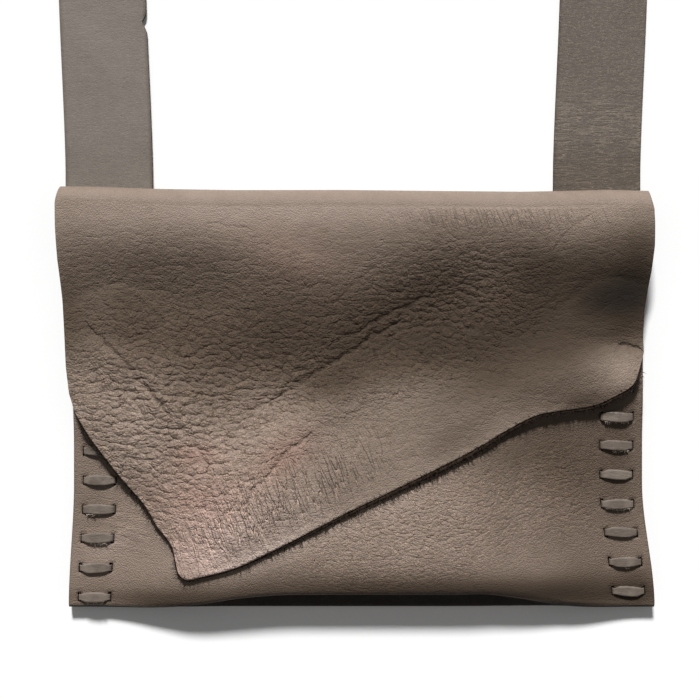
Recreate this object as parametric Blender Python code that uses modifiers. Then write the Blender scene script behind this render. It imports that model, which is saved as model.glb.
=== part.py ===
"""A leather crossbody bag, lying on its back with the flap closed.

One hide makes the front, the bottom fold, the back and the flap. Two thongs lace the sides through
punched slits, and the same thongs hold the ends of the strap behind the back panel.
X runs across the bag, Y from the bottom fold to the top fold, and Z up from the table.
The origin lies on the table, under the middle of the back panel.
"""

import math

import bmesh
import bpy

# Hide and thong
LEATHER = 0.0020
LACE_WIDTH = 0.0048
LACE_THICKNESS = 0.0012
LAYER_GAP = 0.0005
SEAT = 0.0003
REST_GAP = 0.0006

# Pocket
BODY_WIDTH = 0.270
BODY_HEIGHT = 0.199
TOP_FLARE = 0.0033
TOP_FLARE_RUN = 0.045
LEFT_CORNER_FLARE = 0.0025
RIGHT_CORNER_FLARE = 0.0060
CORNER_FLARE_RUN = 0.060
FRONT_DROP = 0.0355
BULGE = 0.0135
BULGE_MARGIN = 0.020
BULGE_RUN = 0.070
CREASE_BULGE_SHARE = 0.71
CREASE_RUN = 0.030
MOUTH_BULGE_LOSS = 0.40
MOUTH_BULGE_RUN = 0.150

# Tucked bottom
TUCK_ANGLE = math.radians(65)
TUCK_FLAT = 0.032
TUCK_RUN = 0.080
TUCK_CENTRE = 0.005
TUCK_RADIUS = 0.0008
UPPER_LEG_SHARE = 0.22

# Top fold, which is also the flap's hinge
ROLL_RADIUS = 0.0085
HINGE_GAP = 0.0003
SKIVED_EDGE = 0.12
BACK_RISE_RUN = 0.037

# Flap: the free edge, as shares of its half width and of its drop below the top fold
FLAP_WIDTH = 0.2805
FLAP_SHIFT = -0.0012
FLAP_DROP = 0.1847
FLAP_START = 0.0030
DRAPE_RUN = 0.058
BRIDGE = 0.007
RAW_EDGE = [
    (-0.952, 0.553), (-0.936, 0.584), (-0.890, 0.642), (-0.802, 0.731), (-0.716, 0.808),
    (-0.666, 0.868), (-0.634, 0.896), (-0.612, 0.924), (-0.601, 0.961), (-0.590, 0.987),
    (-0.563, 1.000), (-0.521, 0.993), (-0.432, 0.975), (-0.359, 0.954), (-0.193, 0.892),
    (-0.027, 0.827), (0.148, 0.763), (0.379, 0.676), (0.498, 0.624), (0.588, 0.588),
    (0.648, 0.575), (0.769, 0.563), (0.829, 0.550), (0.908, 0.518), (0.935, 0.499),
    (0.952, 0.465), (0.970, 0.420),
]
# Soft folds that stand up in the flap, with X of the crest at the bag's mid height
RIDGE_WIDTH = 0.027
CENTRE_RIDGE = 0.0022
CENTRE_RIDGE_X = -0.004
CENTRE_RIDGE_LEAN = -0.30
RIGHT_RIDGE = 0.0015
RIGHT_RIDGE_X = 0.093
RIGHT_RIDGE_LEAN = 0.35
RIDGE_START = 0.045
RIDGE_RUN = 0.060
RIDGE_END = 0.030
RIDGE_END_RUN = 0.024

# Side lacing
STITCH_PITCH = 0.0138
FIRST_STITCH_LEFT = 0.0052
FIRST_STITCH_RIGHT = 0.0080
LAST_STITCH_MARGIN = 0.0035
SEAM_MARGIN = 0.0050
BAR_LENGTH = 0.0145
LACE_BEND = 0.0009
LACE_TAIL = 0.0070
LACE_RELIEF_RUN = 0.014

# Strap
STRAP_WIDTH = 0.0415
STRAP_OVERHANG = 0.0021
STRAP_SHIFT = -0.0024
STRAP_LEAN = 0.0040
STRAP_LEAN_RUN = 0.130
STRAP_LENGTH = 1.25
STRAP_SETTLE = 0.024
STRAP_TWIST_RUN = 0.170
LACED_STITCHES = 4
LIFT_MARGIN = 0.0004
SIDE_LIFT_MARGIN = 0.007
SIDE_LIFT_RUN = 0.026

# Mesh steps
COLUMNS = 18
BOTTOM_STEPS = 20
FLAP_COLUMNS = 28
FLAP_ROWS = 10
BEND_STEPS = 2
ARCH_STEPS = 20
TWIST_STEPS = 9
SECTION_ROUNDS = 8

# What follows from the sizes above
LEFT, RIGHT = -1, 1
TOP_Y = BODY_HEIGHT / 2
BOTTOM_Y = -BODY_HEIGHT / 2
LACE_LIFT = LACE_THICKNESS + SEAT
STRAP_LIFT = LEATHER + SEAT
TOP_LIFT = LACE_LIFT + STRAP_LIFT
HINGE_Y = TOP_Y - ROLL_RADIUS
HINGE_Z = TOP_LIFT + ROLL_RADIUS
CREST_Z = HINGE_Z + ROLL_RADIUS
FRONT_TOP_Y = TOP_Y - FRONT_DROP
PAIR = 2 * LEATHER + LAYER_GAP
FOLD_RADIUS = PAIR / 2
SLIT_WIDTH = LACE_THICKNESS + 2 * SEAT
SLIT_LENGTH = LACE_WIDTH + 2 * SEAT
SEAM_WIDTH = SEAM_MARGIN + BAR_LENGTH + SLIT_WIDTH
BULGE_FLAT = BODY_WIDTH / 2 - BULGE_MARGIN - BULGE_RUN
FIRST_STITCH = max(FIRST_STITCH_LEFT, FIRST_STITCH_RIGHT)
SEAM_LENGTH = FRONT_TOP_Y - LAST_STITCH_MARGIN - BOTTOM_Y - FIRST_STITCH
STITCHES = 1 + int(SEAM_LENGTH / STITCH_PITCH)
STRAP_X = BODY_WIDTH / 2 + STRAP_OVERHANG - STRAP_WIDTH / 2
STRAP_INNER_X = STRAP_X - abs(STRAP_SHIFT) - STRAP_WIDTH / 2
SIDE_LIFT_START = STRAP_INNER_X - SIDE_LIFT_MARGIN - SIDE_LIFT_RUN
LIFT_RUN = STITCH_PITCH - LACE_WIDTH - 2 * LIFT_MARGIN
# Where the underside of the level flap meets the round top fold, so the hide is whole from there
SKIVE_RUN = math.sqrt((ROLL_RADIUS + HINGE_GAP) ** 2 - (ROLL_RADIUS - LEATHER) ** 2)


def smooth(start, run, value):
    """0 up to start, 1 from start + run, and an even curve between them."""
    share = min(max((value - start) / run, 0.0), 1.0)
    return share * share * (3 - 2 * share)


def between(first, last, steps):
    return [first + (last - first) * n / steps for n in range(steps + 1)]


def evenly(points, steps):
    """The same path with its points equally far apart."""
    along = [0.0]
    for a, b in zip(points, points[1:]):
        along.append(along[-1] + math.dist(a, b))
    found = []
    k = 0
    for target in between(0, along[-1], steps):
        while k < len(points) - 2 and along[k + 1] < target:
            k += 1
        t = (target - along[k]) / max(along[k + 1] - along[k], 1e-12)
        found.append(tuple(a + (b - a) * t for a, b in zip(points[k], points[k + 1])))
    return found


def curve_through(points, steps):
    """Points of a smooth curve through the given ones, with steps on each stretch."""
    found = []
    last = len(points) - 1
    for k in range(last):
        a, b = points[max(k - 1, 0)], points[k]
        c, d = points[k + 1], points[min(k + 2, last)]
        for n in range(steps):
            t = n / steps
            found.append(tuple(
                0.5 * (2 * q + (r - p) * t + (2 * p - 5 * q + 4 * r - s) * t * t
                       + (3 * q - p - 3 * r + s) * t * t * t)
                for p, q, r, s in zip(a, b, c, d)
            ))
    return found + [tuple(points[-1])]


# Places along the seam

def stitch_heights(side):
    first = BOTTOM_Y + (FIRST_STITCH_RIGHT if side == RIGHT else FIRST_STITCH_LEFT)
    return [first + n * STITCH_PITCH for n in range(STITCHES)]


def strap_end(side):
    """The strap ends midway between two stitches, with LACED_STITCHES of them through it."""
    return stitch_heights(side)[-1] - (LACED_STITCHES - 0.5) * STITCH_PITCH


def lift_start(side):
    """Under the strap's end, the back rises between two of the stitches."""
    return strap_end(side) - STITCH_PITCH + (LACE_WIDTH / 2 + LIFT_MARGIN) - STITCH_PITCH / 2


# Heights of the layers

def back_height(x, y):
    """Height of the back panel's outer face, flat on the table except over strap and lacing."""
    side = LACE_LIFT + STRAP_LIFT * smooth(lift_start(RIGHT if x > 0 else LEFT), LIFT_RUN, y)
    middle = TOP_LIFT * smooth(HINGE_Y - BACK_RISE_RUN, BACK_RISE_RUN, y)
    return middle + (side - middle) * smooth(SIDE_LIFT_START, SIDE_LIFT_RUN, abs(x))


def bulge(x, y):
    """How far the front panel stands off the back, over the two pressed layers."""
    across = 1 - smooth(BULGE_FLAT, BULGE_RUN, abs(x))
    rise = min(max((y - BOTTOM_Y) / CREASE_RUN, 0.0), 1.0)
    crease = 1 - (1 - CREASE_BULGE_SHARE) * (1 - rise) ** 2
    mouth = 1 - MOUTH_BULGE_LOSS * smooth(TOP_Y - MOUTH_BULGE_RUN, MOUTH_BULGE_RUN, y)
    return BULGE * across * crease * mouth


def front_height(x, y):
    """Height of the front panel's outer face."""
    return back_height(x, y) + PAIR + bulge(x, y)


def ridges(x, y):
    def fold(height, crest, lean):
        return height * math.exp(-((x - crest - lean * y) / RIDGE_WIDTH) ** 2)

    reach = smooth(-RIDGE_START, RIDGE_RUN, y)
    reach *= 1 - smooth(HINGE_Y - RIDGE_END, RIDGE_END_RUN, y)
    centre = fold(CENTRE_RIDGE, CENTRE_RIDGE_X, CENTRE_RIDGE_LEAN)
    return reach * (centre + fold(RIGHT_RIDGE, RIGHT_RIDGE_X, RIGHT_RIDGE_LEAN))


def bridged_height(x, y):
    """The most that the front's outer face rises near here: the stiff flap bridges its hollows."""
    reach = (-BRIDGE, 0, BRIDGE)
    return max(front_height(x + across, y + down) for across in reach for down in reach)


def flap_height(x, y):
    """Height of the flap's outer face, which leaves the top fold level and settles on the front."""
    relief_start = BODY_WIDTH / 2 - SEAM_WIDTH - LACE_RELIEF_RUN
    lace = (LACE_LIFT + SEAT) * smooth(relief_start, LACE_RELIEF_RUN, abs(x))
    rest = bridged_height(x, y) + REST_GAP + LEATHER + lace + ridges(x, y)
    return CREST_Z + (rest - CREST_Z) * smooth(SKIVE_RUN, DRAPE_RUN, HINGE_Y - y)


def body_edge(side, y):
    """X of the side edge of front and back: cut wider towards the top fold and the lower corners."""
    corner = RIGHT_CORNER_FLARE if side == RIGHT else LEFT_CORNER_FLARE
    flare = corner * (1 - smooth(BOTTOM_Y, CORNER_FLARE_RUN, y))
    flare += TOP_FLARE * smooth(HINGE_Y - TOP_FLARE_RUN, TOP_FLARE_RUN, y)
    return side * (BODY_WIDTH / 2 + flare)


# Blender helpers

def clear_scene():
    for obj in list(bpy.data.objects):
        bpy.data.objects.remove(obj, do_unlink=True)


def collection(name, hidden=False):
    made = bpy.data.collections.new(name)
    bpy.context.scene.collection.children.link(made)
    made.hide_render = hidden
    return made


def leather(name, colour, roughness):
    material = bpy.data.materials.new(name)
    material.use_nodes = True
    shader = material.node_tree.nodes["Principled BSDF"]
    shader.inputs["Base Color"].default_value = (*colour, 1)
    shader.inputs["Roughness"].default_value = roughness
    shader.inputs["Metallic"].default_value = 0.0
    return material


def sheet(name, columns, rows, place, parent, material, thickness, offset=-1.0, share=None,
          origin=(0, 0, 0)):
    """A sheet of columns by rows cells with its point (i, j) at place(i, j), given its thickness.

    share(i, j), where the hide is pared, is the part of the thickness that is left there.
    """
    bm = bmesh.new()
    bmesh.ops.create_grid(bm, x_segments=columns, y_segments=rows, size=1)
    cells = []
    for vert in bm.verts:
        i = round((vert.co.x + 1) / 2 * columns)
        j = round((vert.co.y + 1) / 2 * rows)
        vert.co = [value - zero for value, zero in zip(place(i, j), origin)]
        cells.append((i, j))
    mesh = bpy.data.meshes.new(name)
    bm.to_mesh(mesh)
    bm.free()
    mesh.shade_smooth()
    mesh.set_sharp_from_angle(angle=math.radians(50))
    obj = bpy.data.objects.new(name, mesh)
    obj.location = origin
    parent.objects.link(obj)
    obj.data.materials.append(material)
    solid = obj.modifiers.new("thickness", "SOLIDIFY")
    solid.thickness = thickness
    solid.offset = offset
    solid.use_even_offset = True
    if share:
        group = obj.vertex_groups.new(name="thickness")
        for number, (i, j) in enumerate(cells):
            group.add([number], share(i, j), "REPLACE")
        solid.vertex_group = group.name
    return obj


def cut(obj, cutter):
    modifier = obj.modifiers.new("slits", "BOOLEAN")
    modifier.operation = "DIFFERENCE"
    modifier.object = cutter


# The folded hide

def walk(y, z, heading, moves):
    """Points of a section that starts at (y, z) and follows moves, each a turn and its length."""
    steps = 8
    points = [(y, z)]
    for turn, length in moves:
        bend = turn / steps
        stride = length / steps * (math.sin(bend / 2) / (bend / 2) if bend else 1)
        for _ in range(steps):
            y += stride * math.cos(heading + bend / 2)
            z += stride * math.sin(heading + bend / 2)
            heading += bend
            points.append((y, z))
    return points


def bottom_section(x):
    """The bottom fold's outer line at x, from the back panel's end to the front panel's start.

    At the corners it is a plain fold. In the middle the hide is tucked inwards between two folds,
    so the front's fold stands back from the back's.
    """
    tuck = 1 - smooth(TUCK_FLAT, TUCK_RUN, abs(x - TUCK_CENTRE))
    angle = math.atan(math.tan(TUCK_ANGLE) * tuck)
    start_y = BOTTOM_Y + FOLD_RADIUS
    start_z = back_height(x, start_y)
    front_y = start_y
    for _ in range(SECTION_ROUNDS):
        rise = front_height(x, front_y + LEATHER) - front_height(x, front_y)
        slant = math.atan(rise / LEATHER)
        height = front_height(x, front_y) - start_z
        folds = FOLD_RADIUS * (1 + 2 * math.sin(angle) + math.cos(slant))
        folds += 2 * TUCK_RADIUS * math.sin(angle)
        legs = max(height - folds, 0.0) / math.cos(angle)
        front_y = start_y + (1 - 2 * UPPER_LEG_SHARE) * legs * math.sin(angle)
        front_y -= FOLD_RADIUS * math.sin(slant)
    lower, upper = math.pi / 2 + angle, math.pi / 2 + angle - slant
    moves = [
        (-lower, lower * FOLD_RADIUS),
        (0, (1 - UPPER_LEG_SHARE) * legs),
        (2 * angle, 2 * angle * TUCK_RADIUS),
        (0, UPPER_LEG_SHARE * legs),
        (-upper, upper * FOLD_RADIUS),
    ]
    return evenly(walk(start_y, start_z, math.pi, moves), BOTTOM_STEPS)


def top_fold():
    """(y, z, share of thickness) of the top fold, from its pared end over the crest to the back."""
    end = math.pi / 2 + math.atan(SKIVE_RUN / (ROLL_RADIUS - LEATHER)) * 0.92
    angles = between(end, math.pi / 2, 3) + between(math.pi / 2, -math.pi / 2, 9)[1:]
    points = []
    for angle in angles:
        over = max(angle - math.pi / 2, 0.0)
        left = 1 - (1 - math.cos(over)) * ROLL_RADIUS / LEATHER
        y = HINGE_Y + ROLL_RADIUS * math.cos(angle)
        z = HINGE_Z + ROLL_RADIUS * math.sin(angle)
        points.append((y, z, max(left, SKIVED_EDGE)))
    return points


def back_lines(step_y):
    """Y of the lines down the back, with some close together where it steps down off the strap."""
    upper = between(HINGE_Y, step_y + LIFT_RUN, 6)
    step = between(step_y + LIFT_RUN, step_y, 2)
    return upper[1:] + step[1:] + between(step_y, BOTTOM_Y + FOLD_RADIUS, 4)[1:-1]


def front_lines(front_y, step_y):
    lower = between(front_y, step_y, 5)
    step = between(step_y, step_y + LIFT_RUN, 2)
    return lower[1:] + step[1:] + between(step_y + LIFT_RUN, FRONT_TOP_Y, 3)[1:]


def body_line(share):
    """(x, y, z, thickness share) down one line of the folded hide, from top fold to front edge."""
    def across(y):
        left, right = body_edge(LEFT, y), body_edge(RIGHT, y)
        return left + (right - left) * share

    step_y = lift_start(LEFT) + (lift_start(RIGHT) - lift_start(LEFT)) * round(share)
    line = [(across(y), y, z, left) for y, z, left in top_fold()]
    line += [(across(y), y, back_height(across(y), y), 1.0) for y in back_lines(step_y)]
    section = bottom_section(across(BOTTOM_Y))
    line += [(across(y), y, z, 1.0) for y, z in section]
    for y in front_lines(section[-1][0], step_y):
        line.append((across(y), y, front_height(across(y), y), 1.0))
    return line


def make_body(parent, material):
    seam = SEAM_WIDTH / BODY_WIDTH
    lines = [body_line(share) for share in [0] + between(seam, 1 - seam, COLUMNS) + [1]]
    return sheet(
        "bag_body", len(lines) - 1, len(lines[0]) - 1, lambda i, j: lines[i][j][:3],
        parent, material, LEATHER, share=lambda i, j: lines[i][j][3],
    )


# The flap

def raw_edge():
    """The flap's free edge from its left to its right corner, as FLAP_COLUMNS + 1 points."""
    shares = evenly(curve_through(RAW_EDGE, 6), FLAP_COLUMNS)
    return [
        (FLAP_SHIFT + across * FLAP_WIDTH / 2, TOP_Y - down * FLAP_DROP)
        for across, down in shares
    ]


def make_flap(parent, material):
    """The flap, pared along its top to lie flush on the top fold, with its origin on the hinge."""
    edge = raw_edge()
    left, right = edge[0][0], edge[-1][0]
    pared = between(FLAP_START, SKIVE_RUN, 3)

    def place(i, j):
        """Column i from the right, row j from the hinge to the free edge."""
        edge_x, edge_y = edge[FLAP_COLUMNS - i]
        if j < len(pared):
            down = pared[j]
        else:
            length = HINGE_Y - edge_y - SKIVE_RUN
            down = SKIVE_RUN + length * ((j - len(pared) + 1) / FLAP_ROWS) ** 1.15
        top_x = FLAP_SHIFT + FLAP_WIDTH * ((edge_x - left) / (right - left) - 0.5)
        x = top_x + (edge_x - top_x) * down / (HINGE_Y - edge_y)
        y = HINGE_Y - down
        return x, y, flap_height(x, y)

    def share(i, j):
        if j >= len(pared):
            return 1.0
        arc = math.sqrt((ROLL_RADIUS + HINGE_GAP) ** 2 - pared[j] ** 2)
        return min((ROLL_RADIUS - arc) / LEATHER, 1.0)

    return sheet(
        "flap", FLAP_COLUMNS, len(pared) - 1 + FLAP_ROWS, place, parent, material, LEATHER,
        share=share, origin=(0, HINGE_Y, HINGE_Z),
    )


# The lacing

def seam_x(side, y, inward):
    """X of a point of the seam, inward from its outer slits."""
    return body_edge(side, y) - side * (SEAM_MARGIN + inward)


def make_slit_cutters(parent, side):
    """One cutter with a box for each slit of a side, long enough for every layer."""
    name = "slits_right" if side == RIGHT else "slits_left"
    bm = bmesh.new()
    depth = 4 * (TOP_LIFT + PAIR)
    for y in stitch_heights(side):
        for inward in (0, BAR_LENGTH):
            box = bmesh.ops.create_cube(bm, size=1)["verts"]
            bmesh.ops.scale(bm, vec=(SLIT_WIDTH, SLIT_LENGTH, depth), verts=box)
            bmesh.ops.translate(bm, vec=(seam_x(side, y, inward), y, 0), verts=box)
    mesh = bpy.data.meshes.new(name)
    bm.to_mesh(mesh)
    bm.free()
    cutter = bpy.data.objects.new(name, mesh)
    parent.objects.link(cutter)
    cutter.hide_render = True
    cutter.display_type = "WIRE"
    return cutter


def lace_line(side):
    """(inward, y, z) along the middle of a thong, from its lower to its upper tail."""
    under = LACE_THICKNESS / 2
    bend = LACE_BEND
    stations = stitch_heights(side)
    line = [(bend + LACE_TAIL, stations[0], under)]

    def corner(inward, z, first, last, y):
        for angle in between(first, last, BEND_STEPS):
            line.append((inward + bend * math.cos(angle), y, z + bend * math.sin(angle)))

    quarter = math.pi / 2
    for y in stations:
        over = front_height(seam_x(side, y, 0), y) + SEAT + LACE_THICKNESS / 2
        corner(bend, under + bend, -quarter, -2 * quarter, y)
        corner(bend, over - bend, 2 * quarter, quarter, y)
        corner(BAR_LENGTH - bend, over - bend, quarter, 0, y)
        corner(BAR_LENGTH - bend, under + bend, 0, -quarter, y)
    line.append((BAR_LENGTH - bend - LACE_TAIL, stations[-1], under))
    return line


def make_lace(parent, material, side):
    """The thong keeps its width along Y, so it shears on the slanted runs behind the bag."""
    line = lace_line(side)

    def place(i, j):
        inward, y, z = line[i] if side == LEFT else line[len(line) - 1 - i]
        return seam_x(side, y, inward), y + (j - 0.5) * LACE_WIDTH, z

    name = "lace_right" if side == RIGHT else "lace_left"
    return sheet(name, len(line) - 1, 1, place, parent, material, LACE_THICKNESS, offset=0.0)


# The strap

def strap_stations():
    """(x, y, across, tilt) from the left end of the strap round its loop to the right end.

    Both legs lie flat. Beyond them the strap turns on its edge, and goes round in an open arch.
    across is the direction of its width on the table.
    """
    spread = STRAP_X + STRAP_LEAN
    legs = STRAP_LENGTH - math.pi * spread
    arch_y = (strap_end(LEFT) + strap_end(RIGHT) + legs) / 2
    flat_end = arch_y - STRAP_TWIST_RUN

    def leg(side, turn):
        low = [strap_end(side), HINGE_Y, HINGE_Y + STRAP_SETTLE / 2, HINGE_Y + STRAP_SETTLE]
        low += between(low[-1], flat_end, 3)[1:]
        for y in low + between(flat_end, arch_y, TWIST_STEPS)[1:]:
            x = side * (STRAP_X + STRAP_LEAN * smooth(HINGE_Y, STRAP_LEAN_RUN, y))
            yield x, y, turn, math.pi / 2 * smooth(flat_end, STRAP_TWIST_RUN, y)

    arch = []
    for angle in between(math.pi, 0, ARCH_STEPS)[1:-1]:
        x, y = spread * math.cos(angle), arch_y + spread * math.sin(angle)
        arch.append((x, y, math.pi - angle, math.pi / 2))
    return list(leg(LEFT, 0.0)) + arch + list(leg(RIGHT, math.pi))[::-1]


def strap_height(y, tilt):
    """Height of the middle of the strap: behind the bag it lies on the thong's slanted runs."""
    over_thong = LACE_LIFT * (1 - smooth(HINGE_Y, STRAP_SETTLE, y))
    return over_thong + (LEATHER * math.cos(tilt) + STRAP_WIDTH * math.sin(tilt)) / 2


def make_strap(parent, material):
    stations = strap_stations()

    def place(i, j):
        x, y, turn, tilt = stations[i]
        reach = (0.5 - j) * STRAP_WIDTH
        flat = reach * math.cos(tilt)
        return (
            STRAP_SHIFT + x - flat * math.cos(turn),
            y + flat * math.sin(turn),
            strap_height(y, tilt) + reach * math.sin(tilt),
        )

    return sheet("strap", len(stations) - 1, 1, place, parent, material, LEATHER, offset=0.0)


def main():
    clear_scene()
    bag = collection("leather crossbody bag")
    cutters = collection("cutters", hidden=True)
    body = make_body(bag, leather("hide", (0.165, 0.122, 0.094), 0.62))
    make_flap(bag, leather("flap_hide", (0.170, 0.126, 0.098), 0.60))
    strap = make_strap(bag, leather("strap_hide", (0.175, 0.150, 0.132), 0.66))
    make_lace(bag, leather("thong_left", (0.150, 0.115, 0.090), 0.60), LEFT)
    make_lace(bag, leather("thong_right", (0.150, 0.115, 0.090), 0.60), RIGHT)
    for side in (LEFT, RIGHT):
        slits = make_slit_cutters(cutters, side)
        cut(body, slits)
        cut(strap, slits)


main()
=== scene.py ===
"""The looks of a leather crossbody bag that lies on its back with the flap closed.

X runs across the bag, Y from the bottom fold to the top fold, and Z up from the table, in metres.
One hide makes front, bottom, back and flap. It is dressed as two pieces that meet behind the top
fold, with the strap, the two thongs and the loose fibres of the cut edges as pieces of their own.
"""

import math

import bpy
import numpy as np
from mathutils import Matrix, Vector


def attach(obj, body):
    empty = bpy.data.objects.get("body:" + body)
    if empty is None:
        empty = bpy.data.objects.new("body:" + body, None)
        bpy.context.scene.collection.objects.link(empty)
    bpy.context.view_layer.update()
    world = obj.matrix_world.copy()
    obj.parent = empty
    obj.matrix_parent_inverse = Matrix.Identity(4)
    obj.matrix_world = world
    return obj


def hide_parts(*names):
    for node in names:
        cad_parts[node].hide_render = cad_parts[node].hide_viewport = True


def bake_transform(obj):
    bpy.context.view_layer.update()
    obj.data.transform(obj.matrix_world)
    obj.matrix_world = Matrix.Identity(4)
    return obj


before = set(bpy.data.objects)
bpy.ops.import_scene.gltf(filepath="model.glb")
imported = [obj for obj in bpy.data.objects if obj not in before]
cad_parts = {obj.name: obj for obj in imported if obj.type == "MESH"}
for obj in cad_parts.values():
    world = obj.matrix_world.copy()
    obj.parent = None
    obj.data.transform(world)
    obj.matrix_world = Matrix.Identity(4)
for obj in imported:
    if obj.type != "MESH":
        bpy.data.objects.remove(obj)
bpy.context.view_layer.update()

MM = 0.001
LEFT, RIGHT = -1, 1

# Hide, thong and strap, as the solids have them
LEATHER = 0.0020
LACE_WIDTH = 0.0048
LACE_THICKNESS = 0.0012
LACE_BEND, LACE_TAIL = 0.0009, 0.0070
SEAT = 0.0003
REST_GAP = 0.0006
PAIR = 2 * LEATHER + 0.0005
FOLD_RADIUS = PAIR / 2

# Pocket
BODY_WIDTH = 0.270
TOP_Y, BOTTOM_Y = 0.0995, -0.0995
TOP_FLARE, TOP_FLARE_RUN = 0.0033, 0.045
CORNER_FLARE = {LEFT: 0.0025, RIGHT: 0.0060}
CORNER_FLARE_RUN = 0.060
FRONT_TOP_Y = TOP_Y - 0.0355
BULGE = 0.0135
BULGE_FLAT, BULGE_RUN, BOTTOM_SPREAD = 0.045, 0.070, 0.012
CREASE_BULGE_SHARE, CREASE_RUN = 0.71, 0.030
MOUTH_BULGE_LOSS, MOUTH_BULGE_RUN = 0.40, 0.150
SAG_SHARE, SAG_Y, SAG_REACH = 0.46, 0.008, 0.046
LACE_LIFT = LACE_THICKNESS + SEAT
STRAP_LIFT = LEATHER + SEAT
TOP_LIFT = LACE_LIFT + STRAP_LIFT
BACK_RISE_RUN = 0.037
FRONT_LIFT_RUN, FLAP_LIFT_RUN = 0.022, 0.060
FOOT_RUN = 0.030

# Tucked bottom
TUCK_ANGLE = math.radians(65)
TUCK_FLAT, TUCK_RUN, TUCK_CENTRE = 0.042, 0.080, 0.013
TUCK_RADIUS = 0.0008
UPPER_LEG_SHARE = 0.22
# At the right the front's lower edge leans back over the tuck
LEAN_BACK, LEAN_X, LEAN_REACH = 0.0027, 0.084, 0.019

# Top fold, on the flap's hinge
ROLL_RADIUS = 0.0085
HINGE_Y = TOP_Y - ROLL_RADIUS
HINGE_Z = TOP_LIFT + ROLL_RADIUS
CREST_Z = HINGE_Z + ROLL_RADIUS
JOIN_Y = 0.086

# Flap
FLAP_WIDTH, FLAP_SHIFT, FLAP_DROP = 0.2805, -0.0012, 0.1847
DRAPE_START, DRAPE_RUN = 0.0050, 0.058
BRIDGE = 0.004
EDGE_SHARE = 0.6
EDGE_FOOT, EDGE_RUN = -0.001, 0.020
HOLLOW_START, HOLLOW_RUN, HOLLOW_EDGE_SHARE = 0.002, 0.030, 0.15
PRESS_GAP, PRESS_SLACK = 0.0009, 0.0004
PRESS_FOOT, PRESS_RUN = -0.010, 0.020
CREASE_DEPTH = 0.30
# X as a share of half the flap's width, and the way down as a share of its drop
RAW_EDGE = [
    (-0.952, 0.553), (-0.936, 0.584), (-0.890, 0.642), (-0.802, 0.731), (-0.716, 0.808),
    (-0.666, 0.868), (-0.634, 0.896), (-0.612, 0.924), (-0.601, 0.961), (-0.590, 0.987),
    (-0.563, 1.000), (-0.521, 0.993), (-0.432, 0.975), (-0.359, 0.954), (-0.193, 0.892),
    (-0.027, 0.827), (0.148, 0.763), (0.379, 0.676), (0.498, 0.624), (0.588, 0.588),
    (0.648, 0.575), (0.769, 0.563), (0.829, 0.550), (0.908, 0.518), (0.935, 0.499),
    (0.952, 0.465), (0.970, 0.420),
]
RIDGE_WIDTH = 0.027
RIDGE_FOOT, RIDGE_FOOT_RUN = -0.045, 0.060
RIDGE_TOP_GAP, RIDGE_TOP_RUN = 0.030, 0.024
# Height, X of the crest where Y is 0, and how far the crest moves across for each step up
RIDGES = [(0.0022, -0.004, -0.30), (0.0015, 0.093, 0.35)]

# Side lacing
STITCH_PITCH = 0.0138
STITCHES = 12
FIRST_STITCH_Y = {LEFT: BOTTOM_Y + 0.0052, RIGHT: BOTTOM_Y + 0.0080}
SEAM_MARGIN, BAR_LENGTH = 0.0050, 0.0145
SLIT_WIDTH, SLIT_LENGTH = 0.0016, 0.0046
LACE_RELIEF_INSET, LACE_RELIEF_RUN = 0.0213, 0.014

# Strap
STRAP_WIDTH, STRAP_LENGTH = 0.0415, 1.25
STRAP_X, STRAP_SHIFT = 0.11635, -0.0024
STRAP_LEAN, STRAP_LEAN_RUN = 0.0040, 0.130
STRAP_SETTLE, STRAP_TWIST_RUN = 0.024, 0.170
NICK_Y, NICK_REACH, NICK_DEPTH = 0.1795, 0.0025, 0.0022
TRIM_GAP, TRIM_Y, TRIM_RUN = 0.0005, 0.035, 0.040
ROLL_SHADE_Y, ROLL_SHADE_REACH = 0.105, 0.014
LACED_STITCHES = 4
SIDE_LIFT_START, SIDE_LIFT_RUN = 0.0602, 0.026
LIFT_MARGIN = 0.0004
LIFT_RUN = STITCH_PITCH - LACE_WIDTH - 2 * LIFT_MARGIN


# Shape of the layers

def smooth(start, run, value):
    """0 up to start, 1 from start + run, and an even curve between them."""
    share = np.clip((np.asarray(value, float) - start) / run, 0.0, 1.0)
    return share * share * (3 - 2 * share)


def stitch_heights(side):
    return FIRST_STITCH_Y[side] + STITCH_PITCH * np.arange(STITCHES)


def strap_end(side):
    return stitch_heights(side)[-1] - (LACED_STITCHES - 0.5) * STITCH_PITCH


def lift_start(side):
    return strap_end(side) - STITCH_PITCH + (LACE_WIDTH / 2 + LIFT_MARGIN) - STITCH_PITCH / 2


def back_height(x, y, lift_run=LIFT_RUN):
    """Height of the back panel's outer face, flat on the table except over strap and lacing.

    What lies further up steps down off the strap's end over a longer lift_run.
    """
    start = np.where(np.asarray(x) > 0, lift_start(RIGHT), lift_start(LEFT)) + LIFT_RUN
    side = LACE_LIFT + STRAP_LIFT * smooth(start - lift_run, lift_run, y)
    middle = TOP_LIFT * smooth(HINGE_Y - BACK_RISE_RUN, BACK_RISE_RUN, y)
    return middle + (side - middle) * smooth(SIDE_LIFT_START, SIDE_LIFT_RUN, np.abs(x))


def bulge(x, y):
    flat = BULGE_FLAT + BOTTOM_SPREAD * (1 - smooth(BOTTOM_Y, FOOT_RUN, y))
    across = 1 - smooth(flat, BULGE_RUN, np.abs(x))
    rise = np.clip((np.asarray(y) - BOTTOM_Y) / CREASE_RUN, 0.0, 1.0)
    crease = 1 - (1 - CREASE_BULGE_SHARE) * (1 - rise) ** 2
    mouth = 1 - MOUTH_BULGE_LOSS * smooth(TOP_Y - MOUTH_BULGE_RUN, MOUTH_BULGE_RUN, y)
    return BULGE * across * crease * mouth


def sagged(y):
    """What is left of the bulge where the empty pocket sags between top fold and bottom fold."""
    return 1 - SAG_SHARE * np.exp(-((y - SAG_Y) / SAG_REACH) ** 2)


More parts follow.
